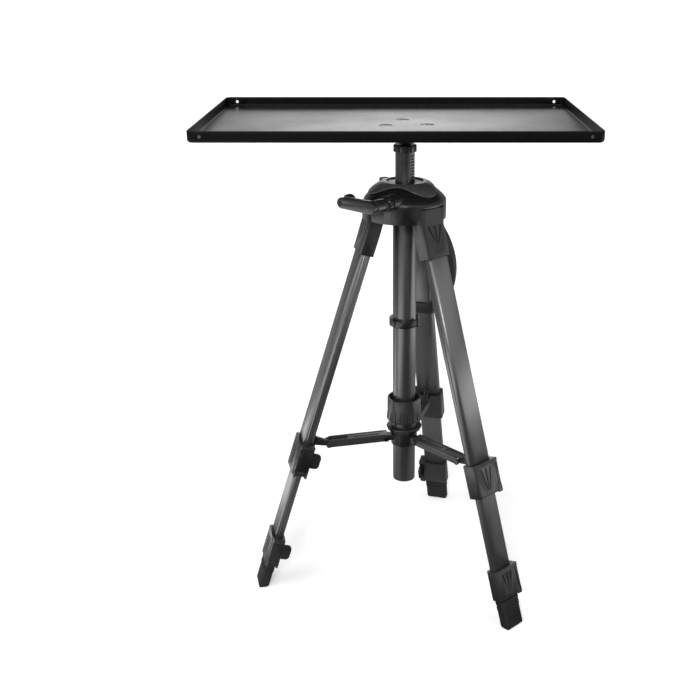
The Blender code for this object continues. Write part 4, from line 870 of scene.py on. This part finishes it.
# %% Head cover
COVER_STEPS = 180
COVER_RINGS = 9
COVER_THICKNESS = 0.0014
COVER_HOLE = 0.0190
DOME_FLAT = 0.0215
DOME_OUTER = 0.0430
DOME_FALL = 0.0150
DOME_POWER = 1.50
EDGE_RADIUS = 0.0330
EDGE_LOBE = 0.0060
EDGE_ROUND = 0.0005
LEVEL_GAP = 0.0003
cover_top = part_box("head_cover")[1].z
hinge_place = leg_frames["right"].to_translation()
first_leg = atan2(hinge_place.y - column_y, hinge_place.x - column_x)


def dome_height(radius):
    share = max(0.0, (radius - DOME_FLAT) / (DOME_OUTER - DOME_FLAT))
    return cover_top - DOME_FALL * share**DOME_POWER


def build_cover():
    shape = bmesh.new()
    bmesh.ops.create_circle(shape, cap_ends=False, segments=COVER_STEPS, radius=COVER_HOLE)
    ring = shape.edges[:]
    for vert in shape.verts:
        vert.co.z = cover_top
    for step in range(COVER_RINGS):
        raised = bmesh.ops.extrude_edge_only(shape, edges=ring)["geom"]
        ring = [item for item in raised if isinstance(item, bmesh.types.BMEdge)
                and all(v in raised for v in item.verts)]
        for vert in (item for item in raised if isinstance(item, bmesh.types.BMVert)):
            azimuth = atan2(vert.co.y, vert.co.x)
            edge = EDGE_RADIUS + EDGE_LOBE * cos(3 * (azimuth - first_leg))
            radius = DOME_FLAT + (edge - DOME_FLAT) * step / (COVER_RINGS - 1)
            vert.co = (radius * cos(azimuth), radius * sin(azimuth), dome_height(radius))
    bmesh.ops.recalc_face_normals(shape, faces=shape.faces)
    if sum(face.normal.z for face in shape.faces) < 0:
        bmesh.ops.reverse_faces(shape, faces=shape.faces)
    transform(shape, Matrix.Translation((column_x, column_y, 0)))
    shell = thickened(shape, COVER_THICKNESS)
    round_edges(shell, is_folded, EDGE_ROUND, 3)
    low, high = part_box("bubble_level")
    centre = (low + high) / 2
    hole = rod_shape((high.x - low.x) / 2 + LEVEL_GAP, low.z, high.z + DOME_FALL, TURNED_STEPS)
    shell = cut_away(shell, transform(hole, Matrix.Translation((centre.x, centre.y, 0))))
    # The cover's lightened colour is painted light on the dome's top.
    finish_piece("head_cover_shell", shell, (cover_plastic_painted_light,), "base", ("head_cover",))


build_cover()

# %% [markdown]
# ## The bubble level
#
# A round spirit level is a ring that holds a clear vial of green spirit with a bubble in it and
# a black circle to centre it by. Each is a shape of its own, because each has its own finish.
# All but the bubble are turned, and the vial's top is a shallow glass dome.

# %% Bubble level
GLASS_CLEARNESS = 0.9
GLASS_BENDING = 1.47
GLASS_CLOUD_SCALE = 160.0
GLASS_CLOUD_STEP = 0.05
SPIRIT_COLOUR = (0.42, 0.58, 0.10)
SPIRIT_DEEP = (0.36, 0.52, 0.08)
SPIRIT_BRIGHT = (0.50, 0.66, 0.14)
SPIRIT_ROUGHNESS = 0.2
SPIRIT_CLOUD_SCALE = 220.0
SPIRIT_GAP = 0.0001
SPIRIT_TOP = 0.0010
RING_LIP = 0.0011
RING_DEPTH = 0.0022
RING_OUTER_EDGE = ((0.0, 0.0004), (0.0002, 0.0001), (0.0005, 0.0))
RING_INNER_EDGE = ((0.0002, 0.0001), (0.0, 0.0004))
MARK_RADII = (0.0017, 0.0020)
MARK_HEIGHTS = (0.00102, 0.00112)
BUBBLE_RADIUS = 0.0012
BUBBLE_FLATNESS = 0.25
BUBBLE_PLACE = (0.0003, 0.0002, 0.0012)
WINDOW_BASE = 0.00155
WINDOW_SHARES = (0.97, 0.75, 0.5, 0.25, 0.0)
WINDOW_DROP = 0.0003
WINDOW_FALL = 0.0006


def glass_finish(name, colour, roughness):
    material, tree, shader = new_finish(name, colour, roughness)
    shader.inputs["Transmission Weight"].default_value = GLASS_CLEARNESS
    shader.inputs["IOR"].default_value = GLASS_BENDING
    cloud = noise(tree, place_pattern(tree), GLASS_CLOUD_SCALE, 2.0)
    hazy = remap(tree, cloud, roughness, roughness + GLASS_CLOUD_STEP)
    tree.links.new(hazy, shader.inputs["Roughness"])
    return material


def spirit_finish():
    material, tree, shader = new_finish("level_spirit", SPIRIT_COLOUR, SPIRIT_ROUGHNESS)
    depth = noise(tree, place_pattern(tree), SPIRIT_CLOUD_SCALE, 2.0)
    tint(tree, depth, SPIRIT_DEEP, SPIRIT_BRIGHT, shader.inputs["Base Color"])
    return material


def washer_shape(inner, outer, low, high):
    return turned_shape([(inner, low), (outer, low), (outer, high), (inner, high)])


def build_level():
    low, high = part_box("bubble_level")
    centre = (low + high) / 2
    radius = (high.x - low.x) / 2
    place = Matrix.Translation((centre.x, centre.y, 0))
    lip, floor = radius - RING_LIP, high.z - RING_DEPTH

    def level_piece(name, shape, material, stands_for=()):
        finish_piece(name, transform(shape, place), (material,), "base", stands_for)

    ring = turned_shape([
        (0.0, low.z), (radius, low.z),
        *((radius - inset, high.z - drop) for inset, drop in RING_OUTER_EDGE),
        *((lip + outset, high.z - drop) for outset, drop in RING_INNER_EDGE),
        (lip, floor), (0.0, floor),
    ])
    level_piece("level_ring", ring, plastic_black, ("bubble_level",))
    spirit = washer_shape(0.0, lip - SPIRIT_GAP, floor + SPIRIT_GAP, floor + SPIRIT_TOP)
    level_piece("level_spirit", spirit, spirit_finish())
    mark = washer_shape(*MARK_RADII, *(floor + height for height in MARK_HEIGHTS))
    level_piece("level_mark", mark, plastic_black)
    bubble = bmesh.new()
    bmesh.ops.create_uvsphere(bubble, u_segments=24, v_segments=12, radius=BUBBLE_RADIUS)
    transform(bubble, Matrix.Diagonal((1.0, 1.0, BUBBLE_FLATNESS, 1.0)))
    transform(bubble, Matrix.Translation(Vector((0, 0, floor)) + Vector(BUBBLE_PLACE)))
    level_piece("level_bubble", bubble, glass_finish("level_air", (0.9, 0.95, 0.8), 0.05))
    crown = [(lip * share, high.z - WINDOW_DROP - WINDOW_FALL * share**2) for share in WINDOW_SHARES]
    base = floor + WINDOW_BASE
    window = turned_shape([(0.0, base), (lip * WINDOW_SHARES[0], base), *crown])
    level_piece("level_window", window, glass_finish("level_clear", (0.95, 0.97, 0.93), 0.03))


build_level()

# %% [markdown]
# ## Grip ribs on the levers
#
# Each lock opens with a thumb, so its tab has a few raised ribs that stop the thumb slipping.
# A rib is a small box with rounded edges. It is placed in its leg's own frame, on both faces
# of the tab, and rides with the lever.

# %% Lever ribs
RIB_WIDTH = 0.0007
RIB_PROUD = 0.0004
RIB_LENGTH = 0.0110
RIB_PITCH = 0.0017
RIB_ROUND = 0.00025
RIBS_PER_FACE = 4
TAB_HALF_THICKNESS = 0.0013
LEVER_PLACES = {"upper": (-0.0160, 0.0186, -0.28175), "lower": (-0.0148, 0.0174, -0.39825)}


def lever_ribs(section):
    x, y, z = LEVER_PLACES[section]
    ribs = []
    for index in range(RIBS_PER_FACE):
        rib_x = x + index * RIB_PITCH
        for side in (-1, 1):
            face = y + side * TAB_HALF_THICKNESS
            ends = sorted((face - side * RIB_PROUD, face + side * RIB_PROUD))
            rib = box_shape((rib_x - RIB_WIDTH / 2, ends[0], z - RIB_LENGTH / 2),
                            (rib_x + RIB_WIDTH / 2, ends[1], z + RIB_LENGTH / 2))
            round_edges(rib, every_edge, RIB_ROUND)
            ribs.append(rib)
    return gather(ribs)


for leg in LEGS:
    for section in ("upper", "lower"):
        ribs = transform(lever_ribs(section), leg_frames[leg])
        finish_piece(f"{section}_lever_ribs_{leg}", ribs, (plastic_black,),
                     f"{section}_lever_{leg}")

# %% [markdown]
# ## Ridges on the carrying strap
#
# The strap on the back leg is ribbed along its length, which lets it bend and keeps it light.
# A ridge starts as a narrow grid. Its rows are moved onto the strap's bow, and the whole face
# is then extruded outwards a little, so that every ridge follows the bow exactly.

# %% Strap ridges
STRAP_TOP = 0.0225
STRAP_BOTTOM = 0.1340
STRAP_SEAT = 0.0165
STRAP_BULGE = 0.0177
STRAP_THICKNESS = 0.0085
STRAP_BOW = 0.70
RIDGE_WIDTH = 0.0022
RIDGE_PROUD = 0.0007
RIDGE_SINK = 0.0002
RIDGE_ROUND = 0.0003
RIDGE_ROWS = 42
RIDGE_START = 0.06
RIDGE_SHARE = 0.88
RIDGE_PLACES = (-0.0036, 0.0, 0.0036)


def strap_ridge(x):
    shape = bmesh.new()
    bmesh.ops.create_grid(shape, x_segments=1, y_segments=RIDGE_ROWS, size=0.5)
    for vert in shape.verts:
        share = RIDGE_START + RIDGE_SHARE * (vert.co.y + 0.5)
        bulge = STRAP_BULGE * sin(pi * share) ** STRAP_BOW
        reach = STRAP_SEAT + bulge + STRAP_THICKNESS - RIDGE_SINK
        height = -STRAP_TOP - (STRAP_BOTTOM - STRAP_TOP) * share
        vert.co = (x + vert.co.x * RIDGE_WIDTH, -reach, height)
    raised = bmesh.ops.extrude_face_region(shape, geom=shape.faces[:])["geom"]
    top = [item for item in raised if isinstance(item, bmesh.types.BMVert)]
    bmesh.ops.translate(shape, vec=(0, -RIDGE_PROUD, 0), verts=top)
    bmesh.ops.recalc_face_normals(shape, faces=shape.faces)
    round_edges(shape, is_folded, RIDGE_ROUND)
    return shape


ridges = gather([strap_ridge(x) for x in RIDGE_PLACES])
finish_piece("strap_ridges", transform(ridges, leg_frames["back"]), (strap_rubber,), "leg_back")

# %% [markdown]
# ## Pressed ribs on the brace arms
#
# The arms are pressed from thin sheet. A raised bead along each edge and a wider one in the
# middle stiffen them, and the beads draw the pale lines along each arm.

# %% Brace beads
ARM_TOP = 0.0048
BEAD_PROUD = 0.0004
BEAD_ROUND = 0.0003
EDGE_BEAD = {"start": 0.0010, "end": 0.0600, "half_width": 0.0006}
EDGE_BEAD_PLACES = (-0.0057, 0.0057)
MIDDLE_BEAD = {"start": 0.0070, "end": 0.0370, "half_width": 0.0016}


def arm_matrix(name):
    """Origin on the arm's pivot, +X out along the arm, +Z up."""
    hinge = joints["arm_fold_" + name]
    across = Vector(hinge["axis"]).normalized()
    up = Vector((0, 0, 1))
    turn = Matrix((across.cross(up), across, up)).transposed().to_4x4()
    return Matrix.Translation(hinge["pos_m"]) @ turn


def arm_bead(y, segments, start, end, half_width):
    bead = box_shape((start, y - half_width, ARM_TOP - BEAD_PROUD),
                     (end, y + half_width, ARM_TOP + BEAD_PROUD))
    round_edges(bead, every_edge, BEAD_ROUND, segments)
    return bead


def arm_beads():
    edge_beads = [arm_bead(y, 2, **EDGE_BEAD) for y in EDGE_BEAD_PLACES]
    return gather([*edge_beads, arm_bead(0.0, 3, **MIDDLE_BEAD)])


for leg in LEGS:
    beads = transform(arm_beads(), arm_matrix(leg))
    finish_piece("brace_arm_beads_" + leg, beads, (arm_paint,), "arm_" + leg)

# %% [markdown]
# ## Ribs on the crank
#
# The crank's arm has short ribs across its upper edge, near the tip, and its grip has ribs
# round it. Both are placed in the crank's frame: Z points out along the shaft, Y up, and X
# sideways, from the column towards the shaft.

# %% Crank ribs
CRANK_RIB_ROUND = 0.0003
ARM_RIB_COUNT = 7
ARM_RIB_START = -0.0340
ARM_RIB_PITCH = 0.0032
ARM_RIB_LOW = (-0.0008, 0.00505, 0.0653)
ARM_RIB_HIGH = (0.0008, 0.00625, 0.0714)
GRIP_RIB_COUNT = 14
GRIP_RIB_LOW = (0.0064, -0.0006, -0.0074)
GRIP_RIB_HIGH = (0.0072, 0.0006, -0.0022)


def crank_matrix():
    hinge = joints["crank_turn"]
    out = Vector(hinge["axis"]).normalized()
    up = Vector((0, 0, 1))
    turn = Matrix((up.cross(out), up, out)).transposed().to_4x4()
    return Matrix.Translation(hinge["pos_m"]) @ turn


def crank_rib(low, high, place):
    rib = box_shape(low, high)
    round_edges(rib, every_edge, CRANK_RIB_ROUND)
    return transform(rib, place)


def arm_ribs():
    places = [Matrix.Translation((ARM_RIB_START + index * ARM_RIB_PITCH, 0, 0))
              for index in range(ARM_RIB_COUNT)]
    return gather([crank_rib(ARM_RIB_LOW, ARM_RIB_HIGH, place) for place in places])


def grip_ribs():
    places = [Matrix.Rotation(2 * pi * index / GRIP_RIB_COUNT, 4, "Z")
              for index in range(GRIP_RIB_COUNT)]
    return gather([crank_rib(GRIP_RIB_LOW, GRIP_RIB_HIGH, place) for place in places])


crank_place = crank_matrix()
finish_piece("crank_arm_ribs", transform(arm_ribs(), crank_place), (plastic_grey,), "crank")
grip_place = Vector(joints["crank_knob_spin"]["pos_m"])
grip_frame = Matrix.Translation(grip_place) @ crank_place.to_3x3().to_4x4()
finish_piece("crank_grip_ribs", transform(grip_ribs(), grip_frame), (plastic_black,), "crank_knob")

# %% [markdown]
# ## Bands on the feet
#
# A rubber boot is thicker where it grips the tube. Each band starts as one square face. Its
# corners are bevelled, an inset leaves only the rim, and the rim is extruded to the band's
# height and gets rounded edges.

# %% Foot bands
BOOT_HALF_DEPTH = 0.0056
BOOT_HALF_WIDTH = 0.0130
BOOT_CORNER = 0.0028
BAND_SINK = 0.0002
FOOT_BANDS = ((-0.4225, -0.4192, 0.0006), (-0.4262, -0.4250, 0.0005), (-0.4287, -0.4275, 0.0005))


def boot_band(low, high, proud):
    shape = bmesh.new()
    bmesh.ops.create_grid(shape, x_segments=1, y_segments=1, size=0.5)
    size = (2 * (BOOT_HALF_DEPTH + proud), 2 * (BOOT_HALF_WIDTH + proud), 1.0)
    bmesh.ops.scale(shape, vec=size, verts=shape.verts)
    bmesh.ops.bevel(
        shape, geom=shape.verts[:], affect="VERTICES", offset=BOOT_CORNER + proud, segments=5,
        profile=0.5, material=-1,
    )
    rim = bmesh.ops.inset_region(
        shape, faces=shape.faces[:], thickness=proud + BAND_SINK, use_boundary=True
    )["faces"]
    bmesh.ops.delete(shape, geom=[face for face in shape.faces if face not in rim], context="FACES")
    raised = bmesh.ops.extrude_face_region(shape, geom=shape.faces[:])["geom"]
    top = [item for item in raised if isinstance(item, bmesh.types.BMVert)]
    bmesh.ops.translate(shape, vec=(0, 0, high - low), verts=top)
    bmesh.ops.translate(shape, vec=(0, 0, low), verts=shape.verts)
    bmesh.ops.recalc_face_normals(shape, faces=shape.faces)
    round_edges(shape, is_folded, proud / 3)
    return shape


for leg in LEGS:
    bands = gather([boot_band(*band) for band in FOOT_BANDS])
    finish_piece("foot_bands_" + leg, transform(bands, leg_frames[leg]), (rubber,), "lower_" + leg)
